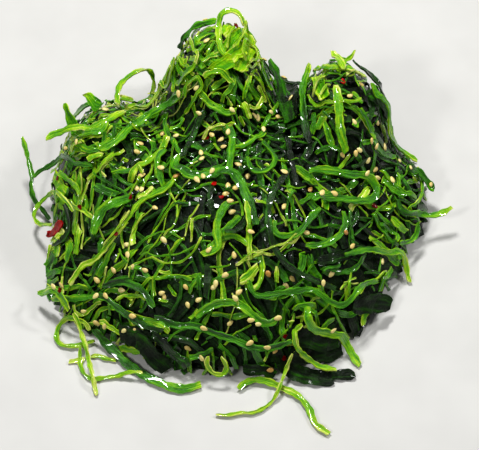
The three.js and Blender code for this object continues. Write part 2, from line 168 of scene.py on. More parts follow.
# The inner strips in layers, from the innermost. Lengths are in millimetres, and "under" is how far a layer
# stays below the surface. Of all "tries", those that lie low enough are laid, up to "most". "bend" is how
# tightly the strips wander, "crowding" is how many more of them lie round the rim and on the clumps, and
# "front" is the share of them that lie on the dark front.
INNER_LAYERS = {
    "dark_leaves_inside": {
        "kind": "leaf", "slot": "leaf", "most": 330, "tries": 1500, "under": 2.4, "widths": (4.5, 9.5),
        "lengths": (22, 60), "thickness": 0.6, "spacing": 2.4, "section": "hollowed", "tones": (0.08, 0.24),
        "bend": 0.01, "crowding": 0, "front": 1, "tip_lift": 0, "twist": 0.15,
    },
    "dark_stems_inside": {
        "kind": "stem", "slot": "dark_stem", "most": 380, "tries": 1500, "under": 1.0, "widths": (2.0, 4.6),
        "lengths": (22, 70), "thickness": 1.0, "spacing": 1.9, "section": "plain", "tones": (0.14, 0.46),
        "bend": 0.016, "crowding": 0.3, "front": 1, "tip_lift": 1, "twist": 0.3,
    },
    "bright_stems_inside": {
        "kind": "stem", "slot": "green_stem", "most": 380, "tries": 2200, "under": -0.3, "widths": (1.6, 4.0),
        "lengths": (14, 50), "thickness": 0.8, "spacing": 1.4, "section": "hollowed", "tones": (0.38, 0.86),
        "bend": 0.028, "crowding": 2.5, "front": 0.3, "tip_lift": 4, "twist": 0.6,
    },
    "thin_stems_inside": {
        "kind": "stem", "slot": "light_stem", "most": 280, "tries": 1600, "under": -0.9, "widths": (0.7, 1.4),
        "lengths": (10, 40), "thickness": 0.6, "spacing": 1.2, "section": "plain", "tones": (0.5, 0.95),
        "bend": 0.04, "crowding": 3.5, "front": 0.3, "tip_lift": 4, "twist": 0.3,
    },
    "small_bits": {
        "kind": "stem", "slot": "green_stem", "most": 260, "tries": 1200, "under": -1.4, "widths": (0.8, 2.2),
        "lengths": (4, 11), "thickness": 0.6, "spacing": 1.0, "section": "plain", "tones": (0.3, 0.98),
        "bend": 0.06, "crowding": 1.0, "front": 0.7, "tip_lift": 2, "twist": 0.6,
    },
}
BASE_LAYER = {
    "kind": "stem", "slot": "dark_stem", "most": 120, "tries": 260, "under": 0, "widths": (3, 7),
    "lengths": (25, 70), "thickness": 1.0, "spacing": 2.4, "section": "plain", "tones": (0.1, 0.5),
    "bend": 0.012, "crowding": 0, "front": 1, "tip_lift": 0, "twist": 0,
}
BASE_DEPTH = 3.0

# The pressed leaves in the middle, a sheet with folds that ends inside the rim
SHEET_SECTORS = 240
SHEET_RINGS = 60
SHEET_INSET = 3
SHEET_FOLDS = 5
SHEET_FOLD_LENGTHS = (7, 22)
SHEET_FOLD_HEIGHT = 0.45
SHEET_TONE = 0.13

# Tones run from 0, black-green, to 1, the pale cut ends. A slot's strips have one tone, unless they are named
# below with the tones of their upper and lower ends in the view.
SLOT_TONES = {
    "light_stem": (0.84, 0.84), "green_stem": (0.6, 0.6), "dark_stem": (0.24, 0.24), "leaf": (0.16, 0.16),
    "chilli": (0.9, 0.9),
}
STRIP_TONES = {
    "left_arch": (0.42, 0.56),
    "left_whisker": (0.74, 0.44),
    "olive_stem_right_shoulder": (0.66, 0.76),
    "right_pillar": (0.84, 0.16),
    "right_post": (0.86, 0.72),
    "right_bend": (0.66, 0.6),
    "right_arm": (0.35, 0.88),
    "right_drop": (0.62, 0.68),
    "upper_left_diagonal": (0.58, 0.76),
    "front_left_long": (0.74, 0.28),
    "dark_curve_left": (0.28, 0.5),
    "long_diagonal_left": (0.76, 0.94),
    "leaf_lower_left": (0.72, 0.8),
    "loose_post_front_left": (0.86, 0.97),
    "thin_tail_front": (0.88, 0.97),
    "long_tail_front": (0.8, 0.86),
    "stem_along_the_front": (0.45, 0.55),
    "middle_arc": (0.62, 0.5),
    "tall_leaf_in_the_notch": (0.44, 0.3),
    "arched_leaf_at_the_top": (0.6, 0.32),
    "pale_leaf_at_the_top": (0.86, 0.8),
    "leaf_upper_left_point": (0.74, 0.55),
    "leaf_upper_left_peak": (0.8, 0.55),
    "top_right_leaf": (0.86, 0.7),
    "dark_stem_front_left": (0.36, 0.8),
    "right_low_band": (0.55, 0.9),
    "front_right_fan": (0.7, 0.8),
    "front_wave": (0.68, 0.68),
    "middle_hook": (0.66, 0.74),
    "dark_stem_in_the_middle": (0.28, 0.28),
    "back_stem_far_right": (0.3, 0.2),
    "leaf_right_end": (0.45, 0.45),
}

# Stems with a narrow middle, and the share of the width that is lost there, and leaves that end in a point
WAISTED_STEMS = {"long_diagonal_left": 0.45}
POINTED_LEAVES = ("leaf_upper_left_point", "leaf_upper_left_peak", "top_right_leaf")
POINT_SHARE = 0.3
POINT_REACH = 0.6

# Inner strips that show in the photograph: width in millimetres, tone, and a route in pixels. A route may run
# on over the floor on this side of a y.
FLOOR_SEEN_TO = -45
SEEN_THICKNESS = 1.1
SEEN_LEAF_WIDTH = 4.2
SEEN_SLOTS = {"stem": "light_stem", "leaf": "leaf"}
SEEN_STRIPS = {
    "thin_curve_left": (1.5, 0.88, [(88, 182), (96, 174), (104, 166), (112, 157), (124, 148)]),
    "under_the_standing_loop": (2.1, 0.85, [
        (172, 70), (162, 74), (155, 85), (145, 92), (135, 98), (128, 107)]),
    "left_rim_wide": (5.2, 0.8, [(52, 172), (55, 181), (60, 190), (66, 199)]),
    "left_rim_leaf": (4.6, 0.72, [(49, 205), (56, 207), (63, 213)]),
    "left_low_first": (3.2, 0.8, [(55, 238), (58, 248), (57, 259)]),
    "left_low_second": (3.0, 0.72, [(68, 241), (70, 252), (66, 263)]),
    "left_low_third": (2.2, 0.78, [(80, 232), (78, 244), (76, 256)]),
    "upper_left_second": (2.4, 0.8, [(58, 144), (72, 141), (86, 138), (100, 134), (112, 128)]),
    "upper_left_third": (2.2, 0.7, [(70, 157), (84, 151), (98, 147), (110, 141)]),
    "upper_left_fourth": (2.6, 0.62, [(76, 151), (90, 153), (104, 151)]),
    "pale_piece_left": (2.6, 0.98, [(53, 231), (64, 238), (57, 246)]),
    "left_rim_low": (1.3, 0.85, [(51, 248), (48, 258), (45, 268), (44, 278), (46, 290)]),
    "pale_stub_left": (1.7, 0.97, [(153, 186), (146, 193), (138, 202)]),
    "pale_stub_front_left": (2.1, 0.97, [(69, 363), (78, 362), (85, 361)]),
    "rung_front_left": (1.7, 0.85, [(91, 358), (98, 357), (106, 360), (116, 362)]),
    "small_loop_front_left": (1.5, 0.85, [(74, 308), (76, 315), (82, 317), (90, 311), (101, 306)]),
    "dark_slope_front": (3.8, 0.28, [(150, 336), (160, 343), (172, 354), (182, 363), (187, 369)]),
    "glossy_short_front": (2.1, 0.6, [(190, 361), (200, 356), (208, 353), (213, 350)]),
    "low_right_first": (3.4, 0.6, [(288, 293), (296, 297), (302, 305), (306, 311)]),
    "low_right_second": (2.1, 0.7, [(294, 309), (302, 309), (308, 309), (315, 306)]),
    "low_right_third": (1.7, 0.7, [(310, 312), (316, 318), (318, 325)]),
    "dark_band_front": (4.3, 0.15, [(243, 368), (259, 374), (275, 378)]),
    "right_low_second": (2.1, 0.65, [(392, 268), (388, 275), (383, 283), (380, 290)]),
    "right_low_thin": (0.9, 0.85, [(360, 292), (368, 283), (378, 281), (386, 276)]),
    "right_stub": (3.0, 0.72, [(391, 222), (398, 228), (406, 234)]),
    "olive_right": (1.7, 0.6, [(372, 215), (378, 224), (385, 236), (392, 244), (398, 247)]),
    "olive_right_second": (1.7, 0.6, [(380, 228), (390, 232), (397, 240), (396, 248)]),
    "right_end_curve": (1.3, 0.75, [(417, 172), (421, 180), (422, 190), (421, 198), (416, 205), (408, 210)]),
    "right_slope_first": (1.7, 0.7, [(381, 172), (390, 182), (400, 190), (410, 197), (416, 199)]),
    "right_slope_second": (2.1, 0.6, [(383, 183), (392, 192), (401, 197), (406, 199)]),
    "pale_scrap_right": (2.6, 0.97, [(350, 208), (358, 201), (366, 194), (370, 188)]),
    "under_the_right_bend": (2.1, 0.6, [(300, 203), (308, 198), (320, 195), (335, 195)]),
    "by_the_right_post": (2.6, 0.66, [(324, 124), (328, 135), (333, 147)]),
    "thin_cross": (1.3, 0.85, [(308, 98), (316, 105), (326, 105), (338, 104), (350, 104), (361, 102)]),
    "top_right_pale": (1.3, 0.97, [(346, 77), (355, 74), (363, 72), (365, 80)]),
    "right_rim": (1.7, 0.95, [(371, 92), (379, 98), (386, 104), (389, 112), (391, 122), (390, 130)]),
    "middle_branch": (2.1, 0.7, [(232, 149), (243, 146), (252, 142), (266, 132)]),
    "thin_light_middle": (1.3, 0.95, [
        (302, 232), (294, 242), (284, 248), (274, 253), (262, 255), (251, 258), (243, 262), (236, 268)]),
    "middle_second": (2.6, 0.6, [(240, 218), (232, 224), (225, 230), (220, 236)]),
    "into_the_front_wave": (2.1, 0.7, [(238, 290), (240, 298), (245, 306), (248, 312)]),
    "folded_piece": (3.6, 0.85, [(240, 283), (248, 278), (258, 268)]),
    "middle_right_short": (3.0, 0.6, [(302, 250), (303, 258), (302, 265), (299, 274)]),
    "dark_upright": (3.0, 0.25, [(209, 262), (208, 275), (207, 288), (206, 299)]),
    "thin_upright": (1.7, 0.6, [(200, 276), (199, 283), (199, 290)]),
    "left_of_the_middle": (1.5, 0.7, [(151, 281), (160, 278), (170, 277), (182, 277), (192, 280)]),
    "small_drop_first": (1.3, 0.7, [(154, 282), (154, 292), (155, 299)]),
    "small_drop_second": (1.3, 0.7, [(168, 281), (173, 290), (176, 296)]),
    "upper_left_drop": (2.1, 0.6, [(166, 117), (165, 127), (169, 138), (175, 147), (180, 155), (184, 159)]),
    "upper_left_fork": (2.6, 0.85, [(168, 141), (162, 150), (155, 158), (145, 165), (137, 169), (130, 179)]),
    "upper_left_hook": (2.6, 0.65, [(165, 152), (159, 158), (157, 166), (160, 176), (164, 186)]),
    "upper_left_short": (1.7, 0.7, [(183, 116), (181, 125), (175, 131), (170, 133)]),
    # A pale strip laid where a glint runs along a strip: a painted highlight.
    "painted_highlight_arc": (1.3, 1.0, [(203, 137), (209, 130), (217, 127), (225, 128)]),
    "dark_olive_top": (2.6, 0.3, [(205, 112), (196, 130), (188, 148), (183, 160)]),
    "dark_post": (2.6, 0.1, [(288, 140), (290, 155), (293, 170), (296, 185)]),
    "dark_leaf_band": (4.3, 0.16, [(318, 265), (335, 258), (350, 255), (365, 252)]),
    "bright_leaf_top": (5.0, 0.82, [(228, 30), (236, 44), (240, 58), (244, 72)]),
    "top_left_stub": (3.4, 0.85, [(187, 55), (183, 63), (178, 72)]),
    "top_left_cross": (2.1, 0.7, [(172, 70), (180, 74), (188, 82)]),
    "top_left_drop": (1.7, 0.7, [(174, 73), (174, 84), (173, 95)]),
    "olive_top": (2.1, 0.6, [(192, 43), (195, 52), (201, 60), (208, 66), (214, 68)]),
    "pale_curl_top": (1.3, 0.97, [(213, 83), (212, 75), (217, 68), (226, 64), (236, 62)]),
    "bright_band_top": (3.0, 0.7, [(199, 86), (200, 96), (206, 103), (215, 109), (226, 114), (236, 114)]),
    "notch_third": (1.7, 0.7, [(284, 100), (276, 108), (270, 117), (262, 127)]),
    "black_leaf_notch": (6.0, 0.12, [(290, 88), (292, 104), (291, 122)]),
    "clump_left_first": (3.0, 0.62, [(196, 69), (204, 76), (213, 83)]),
    "clump_left_second": (2.6, 0.72, [(190, 62), (198, 66), (204, 74)]),
    "clump_left_third": (2.4, 0.66, [(212, 92), (219, 84), (228, 78)]),
    "clump_left_fourth": (1.6, 0.8, [(203, 70), (211, 61), (219, 57)]),
    "clump_left_fifth": (2.0, 0.7, [(222, 100), (230, 92), (234, 82)]),
    "clump_left_sixth": (2.2, 0.58, [(186, 76), (192, 82), (200, 84)]),
    "right_clump_left": (2.2, 0.6, [(312, 112), (314, 124), (312, 136)]),
    "right_clump_rim": (4.8, 0.3, [(368, 96), (376, 106), (382, 118), (384, 128)]),
    "right_clump_shoulder": (2.4, 0.56, [(360, 112), (366, 122), (372, 134)]),
    "right_clump_low": (2.0, 0.6, [(316, 152), (330, 150), (344, 153)]),
    "right_clump_loop": (2.2, 0.58, [(362, 149), (371, 147), (378, 153), (384, 158), (396, 160)]),
    "clump_olive_first": (1.6, 0.66, [(199, 57), (203, 48), (209, 40), (216, 35)]),
    "clump_olive_second": (1.3, 0.7, [(207, 57), (211, 50), (216, 44)]),
    "clump_curl": (1.5, 0.76, [
        (185, 100), (187, 90), (195, 85), (202, 90), (200, 98), (193, 106), (185, 113)]),
    "clump_thin": (1.2, 0.92, [(250, 72), (257, 81), (264, 93)]),
    "clump_right": (2.2, 0.64, [(262, 74), (266, 84), (272, 96)]),
    "clump_right_curve": (1.0, 0.93, [(262, 48), (264, 55), (260, 63), (253, 70), (245, 74)]),
    "left_partner": (3.0, 0.72, [(70, 138), (85, 139), (100, 133), (108, 126)]),
    "left_yellow": (1.4, 0.88, [(72, 157), (80, 151), (85, 147)]),
    "left_bright_bit": (2.4, 0.8, [(88, 164), (95, 159), (103, 157)]),
    "left_green_short": (3.2, 0.5, [(95, 189), (105, 193), (117, 194)]),
    "left_green_curve": (2.2, 0.72, [(60, 183), (70, 184), (77, 190), (80, 197)]),
    "left_small_drop": (1.6, 0.74, [(85, 197), (87, 207), (84, 215)]),
    "left_low_slope": (1.8, 0.77, [(68, 203), (75, 211), (86, 217), (95, 222)]),
    "clump_leaf_upper": (7.0, 0.84, [(225, 41), (235, 35), (247, 38), (255, 48)]),
    "clump_leaf_inner": (5.0, 0.74, [(226, 53), (234, 45), (244, 43), (251, 51)]),
    "clump_leaf_lower": (5.5, 0.8, [(227, 65), (238, 59), (248, 57), (257, 61)]),
    "clump_leaf_olive": (5.5, 0.72, [(214, 77), (222, 71), (233, 69)]),
    "top_right_band": (2.8, 0.8, [(314, 74), (326, 70), (340, 72), (352, 75), (363, 72)]),
    "top_right_olive": (5.5, 0.78, [(317, 79), (320, 90), (325, 102)]),
    "lower_left_arc": (1.6, 0.85, [(117, 303), (127, 298), (138, 298), (146, 303)]),
    "lower_left_slope": (2.2, 0.8, [(100, 323), (110, 329), (121, 335), (135, 337)]),
    "lower_left_leaf": (3.0, 0.74, [(120, 352), (130, 356), (140, 353), (148, 346)]),
    "lower_left_dark_leaf": (8.0, 0.14, [(120, 340), (135, 344), (151, 348)]),
    "front_left_dark_leaf": (7.0, 0.14, [(138, 358), (152, 367), (168, 374)]),
    "glossy_front_wide": (3.4, 0.48, [(193, 324), (200, 315), (210, 306)]),
    "dark_leaf_front_first": (7.0, 0.16, [(283, 371), (300, 377), (318, 380), (332, 379)]),
    "dark_leaf_front_second": (7.0, 0.14, [(292, 358), (308, 362), (326, 360), (341, 352)]),
    "dark_leaf_front_third": (8.0, 0.14, [(288, 338), (304, 342), (322, 346), (341, 340)]),
    "clump_foot_first": (2.2, 0.85, [(243, 106), (246, 114), (250, 122)]),
    "clump_foot_second": (2.0, 0.8, [(250, 80), (247, 90), (244, 100)]),
    "clump_foot_third": (2.4, 0.65, [(249, 94), (255, 98), (260, 104)]),
    "clump_foot_fourth": (1.8, 0.9, [(250, 116), (258, 112), (264, 104)]),
    "clump_flank_first": (1.6, 0.84, [(170, 62), (178, 66), (186, 72), (194, 80)]),
    "clump_flank_second": (2.2, 0.74, [(176, 88), (184, 84), (193, 76), (199, 66)]),
    "clump_flank_third": (1.4, 0.9, [(186, 46), (194, 54), (198, 64), (196, 74)]),
    "clump_flank_fourth": (2.4, 0.78, [(204, 84), (214, 80), (224, 82), (232, 90)]),
    "clump_flank_fifth": (1.8, 0.8, [(158, 96), (166, 90), (172, 82), (175, 74)]),
}

# Thin strips that lie over the outer strips in the photograph
TOP_STRIPS = {
    "clump_fold_line": (0.9, 0.9, [(227, 52), (230, 43), (237, 37), (246, 36)]),
    "clump_inner_line": (0.9, 0.88, [(233, 57), (241, 50), (249, 44), (256, 44)]),
    "clump_ring": (1.2, 0.86, [(246, 68), (243, 60), (248, 52), (256, 50), (261, 56), (258, 66), (250, 72)]),
    "right_clump_fold_first": (0.9, 0.93, [(313, 98), (317, 88), (326, 81)]),
    "right_clump_fold_second": (0.9, 0.9, [(320, 101), (325, 92), (330, 86)]),
    "pale_twig_left": (0.8, 0.95, [(104, 252), (112, 242), (122, 229), (130, 217)]),
    "thin_by_the_middle": (0.8, 0.97, [
        (238, 268), (250, 259), (262, 255), (275, 252), (286, 247), (296, 239)]),
    "thin_twig_middle": (0.7, 0.95, [(199, 205), (193, 214), (188, 224), (185, 236)]),
    "front_twig": (0.8, 0.94, [(232, 292), (236, 302), (238, 312)]),
}

# How seeds and flakes lie: their tilt, and the gap to the strips past which they are moved onto one
SMALL_TILT = 0.15
LARGEST_GAP = 0.4

# Sesame seeds: their size in millimetres, the pixels where the photograph shows them, and how many more lie
# out of its sight
SESAME_SIZE = (3.2, 2.0, 1.1)
SESAME_RINGS = 9
SESAME_SIDES = 10
SESAME_TAPER = 0.22
SESAME_BLUNTNESS = 0.6
SESAME_SIZES = (0.88, 1.1)
SESAME_SUNK = 0.15
SESAME_TONES = (0, 0.45)
TOASTED_TONES = (0.7, 1)
SESAME_HIDDEN = 36
SESAME_PIXELS = [
    (77, 142), (64, 148), (105, 110), (179, 94), (197, 88), (207, 41), (199, 113), (232, 110),
    (257, 119), (254, 116), (263, 128), (277, 116), (291, 98), (270, 111), (361, 85), (350, 96),
    (378, 123), (354, 122), (343, 156), (355, 153), (359, 150), (384, 147), (376, 146), (371, 141),
    (369, 162), (367, 173), (377, 178), (377, 170), (392, 180), (399, 161), (410, 168), (431, 184),
    (352, 246), (386, 262), (212, 135), (224, 147), (221, 140), (228, 132), (201, 153), (202, 159),
    (238, 165), (248, 176), (236, 188), (228, 186), (226, 194), (230, 201), (232, 212), (203, 176),
    (197, 180), (212, 171), (176, 136), (163, 134), (161, 168), (143, 176), (140, 144), (137, 152),
    (156, 207), (137, 190), (142, 189), (126, 245), (128, 255), (134, 268), (114, 270), (145, 270),
    (97, 280), (54, 285), (62, 285), (122, 290), (107, 294), (96, 296), (98, 322), (105, 326),
    (123, 331), (135, 330), (133, 316), (84, 311), (164, 240), (162, 293), (164, 297), (209, 250),
    (214, 287), (218, 284), (234, 255), (225, 275), (235, 298), (239, 292), (186, 287), (198, 300),
    (188, 305), (230, 323), (204, 328), (251, 232), (286, 286), (292, 279), (331, 274), (323, 283),
    (278, 318), (251, 320), (257, 325), (250, 342), (267, 347), (333, 330), (188, 348), (203, 359),
    (322, 193), (334, 192), (284, 172), (283, 207), (306, 233),
]
TOASTED_PIXELS = [(346, 234), (177, 175), (269, 273), (277, 353), (270, 370), (310, 190)]

# Chilli flakes: their size in millimetres, the pixels where the photograph shows bright red and dark red
# ones, and how many more lie out of its sight
CHILLI_FLAKE_SIZE = 3.0
CHILLI_FLAKE_THICKNESS = 0.5
CHILLI_FLAKE_SIDES = 9
CHILLI_FLAKE_CURL = 0.12
CHILLI_FLAKE_WIDTH_SHARE = 0.7
CHILLI_FLAKE_RAGGEDNESS = (0.6, 1.15)
FLAKE_RINGS = ((0.0, -1), (0.55, -1), (0.95, -0.7), (1.0, 0), (0.95, 0.7), (0.55, 1), (0.0, 1))
BRIGHT_CHILLI_TONE = 1.0
DARK_CHILLI_TONE = 0.4
CHILLI_HIDDEN = 5
BRIGHT_CHILLI_PIXELS = [(343, 82), (214, 184), (222, 197)]
DARK_CHILLI_PIXELS = [
    (374, 206), (80, 206), (131, 197), (58, 178), (60, 290),
    (285, 336), (284, 358), (236, 26), (116, 234), (207, 138),
]


# Grid of heights

def cells_at(x, y):
    """The rows and columns of the grid over places on the floor."""
    column = np.clip(((x + GROUND_REACH) / GROUND_CELL).astype(int), 0, GROUND_CELLS - 1)
    row = np.clip(((y + GROUND_REACH) / GROUND_CELL).astype(int), 0, GROUND_CELLS - 1)
    return row, column


def raise_ground(ground, places):
    """Lift the ground to the places that lie above it."""
    np.maximum.at(ground, cells_at(places[..., 0], places[..., 1]), places[..., 2])


def blurred(heights, reach):
    """Heights averaged over a square window."""
    window = np.ones(2 * int(reach / GROUND_CELL) + 1)
    window /= len(window)
    for axis in (0, 1):
        heights = np.apply_along_axis(np.convolve, axis, heights, window, "same")
    return heights


def triangles_of(node):
    """A node's corner places in millimetres, and the corners of its triangles."""
    mesh = frame["nodes"][node].data
    mesh.calc_loop_triangles()
    places = np.array([corner.co for corner in mesh.vertices]) / MM
    alike = places.round(CORNER_DECIMALS)
    _, first, number = np.unique(alike, axis=0, return_index=True, return_inverse=True)
    triangles = np.array([triangle.vertices for triangle in mesh.loop_triangles])
    return places[first], number.reshape(-1)[triangles]


def tangle_surface():
    """The height of the tangle's top over each cell of the grid."""
    places, triangles = triangles_of("tangle")
    surface = np.zeros((GROUND_CELLS, GROUND_CELLS))
    for start, second, third in places[triangles]:
        longest = max(np.linalg.norm(second - start), np.linalg.norm(third - start))
        share = np.linspace(0, 1, 2 + int(2 * longest / GROUND_CELL))
        to_second, to_third = np.meshgrid(share, share)
        inside = to_second + to_third <= 1
        to_second = to_second[inside][:, None]
        to_third = to_third[inside][:, None]
        raise_ground(surface, start + to_second * (second - start) + to_third * (third - start))
    return surface


def normals_of(surface):
    """The direction out of a surface over each cell, held back from lying flat."""
    slope_y, slope_x = np.gradient(blurred(surface, SLOPE_BLUR), GROUND_CELL)
    steepest = math.sqrt(1 / FLATTEST_NORMAL ** 2 - 1)
    ease = np.minimum(1, steepest / np.maximum(np.hypot(slope_x, slope_y), SMALLEST_LENGTH))
    return unit(np.dstack([-slope_x * ease, -slope_y * ease, np.ones_like(surface)]))


def unit(vectors):
    """Vectors scaled to a length of one."""
    return vectors / np.maximum(np.linalg.norm(vectors, axis=-1, keepdims=True), SMALLEST_LENGTH)


def seen_at(pixel, ground):
    """The place on the ground that shows at a pixel of the photograph."""
    across, down = pixel
    sideways = (across - PHOTO_WIDTH / 2) * VIEW_RIGHT + (PHOTO_HEIGHT / 2 - down) * VIEW_UPWARD
    ray = VIEW_FORWARD + sideways / (PIXELS_PER_MM * VIEW_DISTANCE)
    depths = np.arange(VIEW_DISTANCE - GROUND_REACH, VIEW_DISTANCE + GROUND_REACH, GROUND_CELL / 2)
    places = VIEW_EYE + depths[:, None] * ray
    under = places[:, 2] <= ground[cells_at(places[:, 0], places[:, 1])]
    return places[np.argmax(under)]


# Strips

def smooth_line(points, spacing):
    """Rows evenly spaced along a smooth curve through the given rows, whose first columns are a place."""
    padded = np.vstack([2 * points[0] - points[1], points, 2 * points[-1] - points[-2]])
    share = np.linspace(0, 1, CURVE_STEPS, endpoint=False)[:, None]
    curve = []
    for before, start, end, after in zip(padded, padded[1:], padded[2:], padded[3:]):
        bend = (2 * before - 5 * start + 4 * end - after) * share ** 2
        twist = (3 * start - before - 3 * end + after) * share ** 3
        curve.append(start + ((end - before) * share + bend + twist) / 2)
    curve = np.vstack([*curve, points[-1:]])
    run = run_of(curve[:, :3])
    even = np.linspace(0, run[-1], max(FEWEST_STATIONS, round(run[-1] / spacing) + 1))
    return np.column_stack([np.interp(even, run, column) for column in curve.T])


def run_of(places):
    """The length of a line up to each of its places."""
    return np.concatenate([[0], np.cumsum(np.linalg.norm(np.diff(places, axis=0), axis=1))])


def wave_along(run, length, random):
    """A wave of the given length along a strip, begun anywhere."""
    return np.sin(2 * np.pi * (run / length + random.random()))


def edges_round(node):
    """The ends of the upright edges of a solid strip, in order round it, and its thickness.

    A solid strip has an upright edge at either side of each station, all as long as the strip is thick.
    From one upright edge over its triangles to the next, the walk goes up one side and down the other."""
    places, triangles = triangles_of(node)
    opposite = {}
    for triangle in triangles.tolist():
        for corner in range(3):
            edge = tuple(sorted((triangle[corner - 1], triangle[corner - 2])))
            opposite.setdefault(edge, []).append(triangle[corner])
    edges = np.array(list(opposite))
    lengths = np.linalg.norm(places[edges[:, 0]] - places[edges[:, 1]], axis=1)
    for thickness in (STEM_THICKNESS, LEAF_THICKNESS, CHILLI_THICKNESS):
        upright = edges[np.abs(lengths - thickness) < EDGE_TOLERANCE]
        if len(upright) * 2 == len(places):
            break
    owner = {corner: number for number, edge in enumerate(upright.tolist()) for corner in edge}
    beside = [[owner[corner] for corner in opposite[tuple(edge)]] for edge in upright.tolist()]
    walk = [0, beside[0][0]]
    while len(walk) < len(upright):
        walk.append(next(other for other in beside[walk[-1]] if other != walk[-2]))
    return places[upright[walk]], thickness


def line_of_solid(node):
    """The places, widths and outward directions along a solid strip, from its upper end in the view.

    The two sides are paired from the edge that makes all the pairs closest."""
    edges, thickness = edges_round(node)
    middles = edges.mean(axis=1)
    count = len(edges) // 2
    steps = np.arange(count)
    widths = []
    for start in range(count):
        widths.append(np.linalg.norm(middles[start + steps] - middles[start - 1 - steps], axis=1).sum())
    start = int(np.argmin(widths))
    left, right = middles[start + steps], middles[start - 1 - steps]
    low, high = np.moveaxis(edges[start + steps], 1, 0)
    out = unit(high - low)
    for station in range(1, count):
        out[station] *= np.sign(out[station] @ out[station - 1])
    out *= np.sign(out[:, 2].sum())
    line = np.hstack([(left + right) / 2, left - right, out])
    if (line[0, :3] - line[-1, :3]) @ VIEW_UPWARD < 0:
        line = line[::-1].copy()
    along = np.gradient(line[:, :3], axis=0)
    line[:, 3:6] *= np.sign((np.cross(line[:, 3:6], line[:, 6:]) * along).sum())
    return line, thickness


def walls_between(rings, sides):
    """The faces that join rings of corners."""
    first = (np.arange(rings - 1) * sides)[:, None]
    here = np.arange(sides)
    after = (here + 1) % sides
    walls = np.stack([first + here, first + after, first + sides + after, first + sides + here], axis=-1)
    return walls.reshape(-1, 4)


class Strips:
    """Strips gathered in one mesh, with what their finish reads: the run along them, side and tone.

    The search trees of all that are made so far are kept, in millimetres."""

    laid = []

    def __init__(self):
        self.places, self.faces = [], []
        self.readings = {"run": [], "side": [], "tone": []}
        self.corners = 0

    def add(self, line, width, thickness, tones, random, section, twist, ripple):
        """Add a strip along a line of places, directions across and directions out."""
        # The twist, and a width that wanders and rounds off at the ends
        centre, across, out = np.split(line, 3, axis=1)
        across, out = unit(across), unit(out)
        along = unit(np.gradient(centre, axis=0))
        run = run_of(centre)[:, None]
        end = np.minimum(run, run[-1] - run)
        turn = twist * wave_along(run, TWIST_WAVE, random)
        across, out = across * np.cos(turn) + out * np.sin(turn), out * np.cos(turn) - across * np.sin(turn)
        fullness = END_FULLNESS + (1 - END_FULLNESS) * np.sqrt(np.clip(end / END_ROUND, 0, 1))
        wander = wave_along(run, WIDTH_WAVE, random) + wave_along(run, SHORT_WIDTH_WAVE, random)
        half_width = np.reshape(width, (-1, 1)) / 2 * fullness
        half_width = half_width + wander * np.minimum(WIDTH_WANDER * half_width, WIDEST_WANDER)

        # The section at each station, cupped and rippled, with ends cut askew
        side, face = np.array(SECTIONS[section]).T
        sides = len(side)
        cup = random.random() * CUP_SHARE * 2 * half_width * (side ** 2 - CUP_MIDDLE)
        crimp = ripple * wave_along(run + RIPPLE_WAVE * side / 4, RIPPLE_WAVE, random) * side ** 2
        rise = STRIP_THINNING * thickness / 2 * fullness * face + cup + crimp
        cut = random.uniform(-1, 1, 2) * CUT_SKEW
        askew = np.where(run < run[-1] / 2, cut[0], cut[1]) * np.clip(1 - end / CUT_REACH, 0, 1)
        askew = askew * half_width * side
        places = centre[:, None] + across[:, None] * (half_width * side)[..., None]
        places = places + out[:, None] * rise[..., None] + along[:, None] * askew[..., None]
        places[..., 2] = np.maximum(places[..., 2], FLOOR_GAP)
        self.places.append(places.reshape(-1, 3))

        # The walls and the end caps
        stations = len(centre)
        low = np.arange(sides // 2 - 1)
        cap = np.stack([low, low + 1, sides - 2 - low, sides - 1 - low], axis=-1) + self.corners
        walls = walls_between(stations, sides) + self.corners
        self.faces += [walls, cap[:, ::-1], cap + (stations - 1) * sides]
        self.corners += stations * sides

        # What the finish reads
        flat = np.ones((stations, sides))
        tone = np.interp(run[:, 0] / run[-1], [0, 1], tones)[:, None]
        tone = tone * (1 + PALE_END * np.clip(1 - end / PALE_END_REACH, 0, 1))
        for reading, values in (("run", run + LONGEST_RUN * random.random()), ("side", side), ("tone", tone)):
            self.readings[reading].append((flat * values).reshape(-1))

    def make(self, name, finish, slot, node):
        """Make the mesh of all the strips and its piece."""
        places = np.concatenate(self.places)
        faces = np.concatenate(self.faces).tolist()
        Strips.laid.append(BVHTree.FromPolygons(places.tolist(), faces))
        mesh = bpy.data.meshes.new(name)
        mesh.from_pydata((places * MM).tolist(), [], faces)
        for reading, values in self.readings.items():
            mesh.attributes.new(reading, "FLOAT", "POINT").data.foreach_set("value", np.concatenate(values))
        return make_piece(name, mesh, finish, slot, node)


def make_piece(name, mesh, finish, slot, node):
    """Finish a mesh as a piece that stands for a node."""
    mesh.polygons.foreach_set("use_smooth", [True] * len(mesh.polygons))
    mesh.set_sharp_from_angle(angle=CRISP_EDGE)
    mesh.materials.append(finish)
    piece = bpy.data.objects.new(name, mesh)
    bpy.context.scene.collection.objects.link(piece)
    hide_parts(node)
    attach(piece, "root")
    return piece


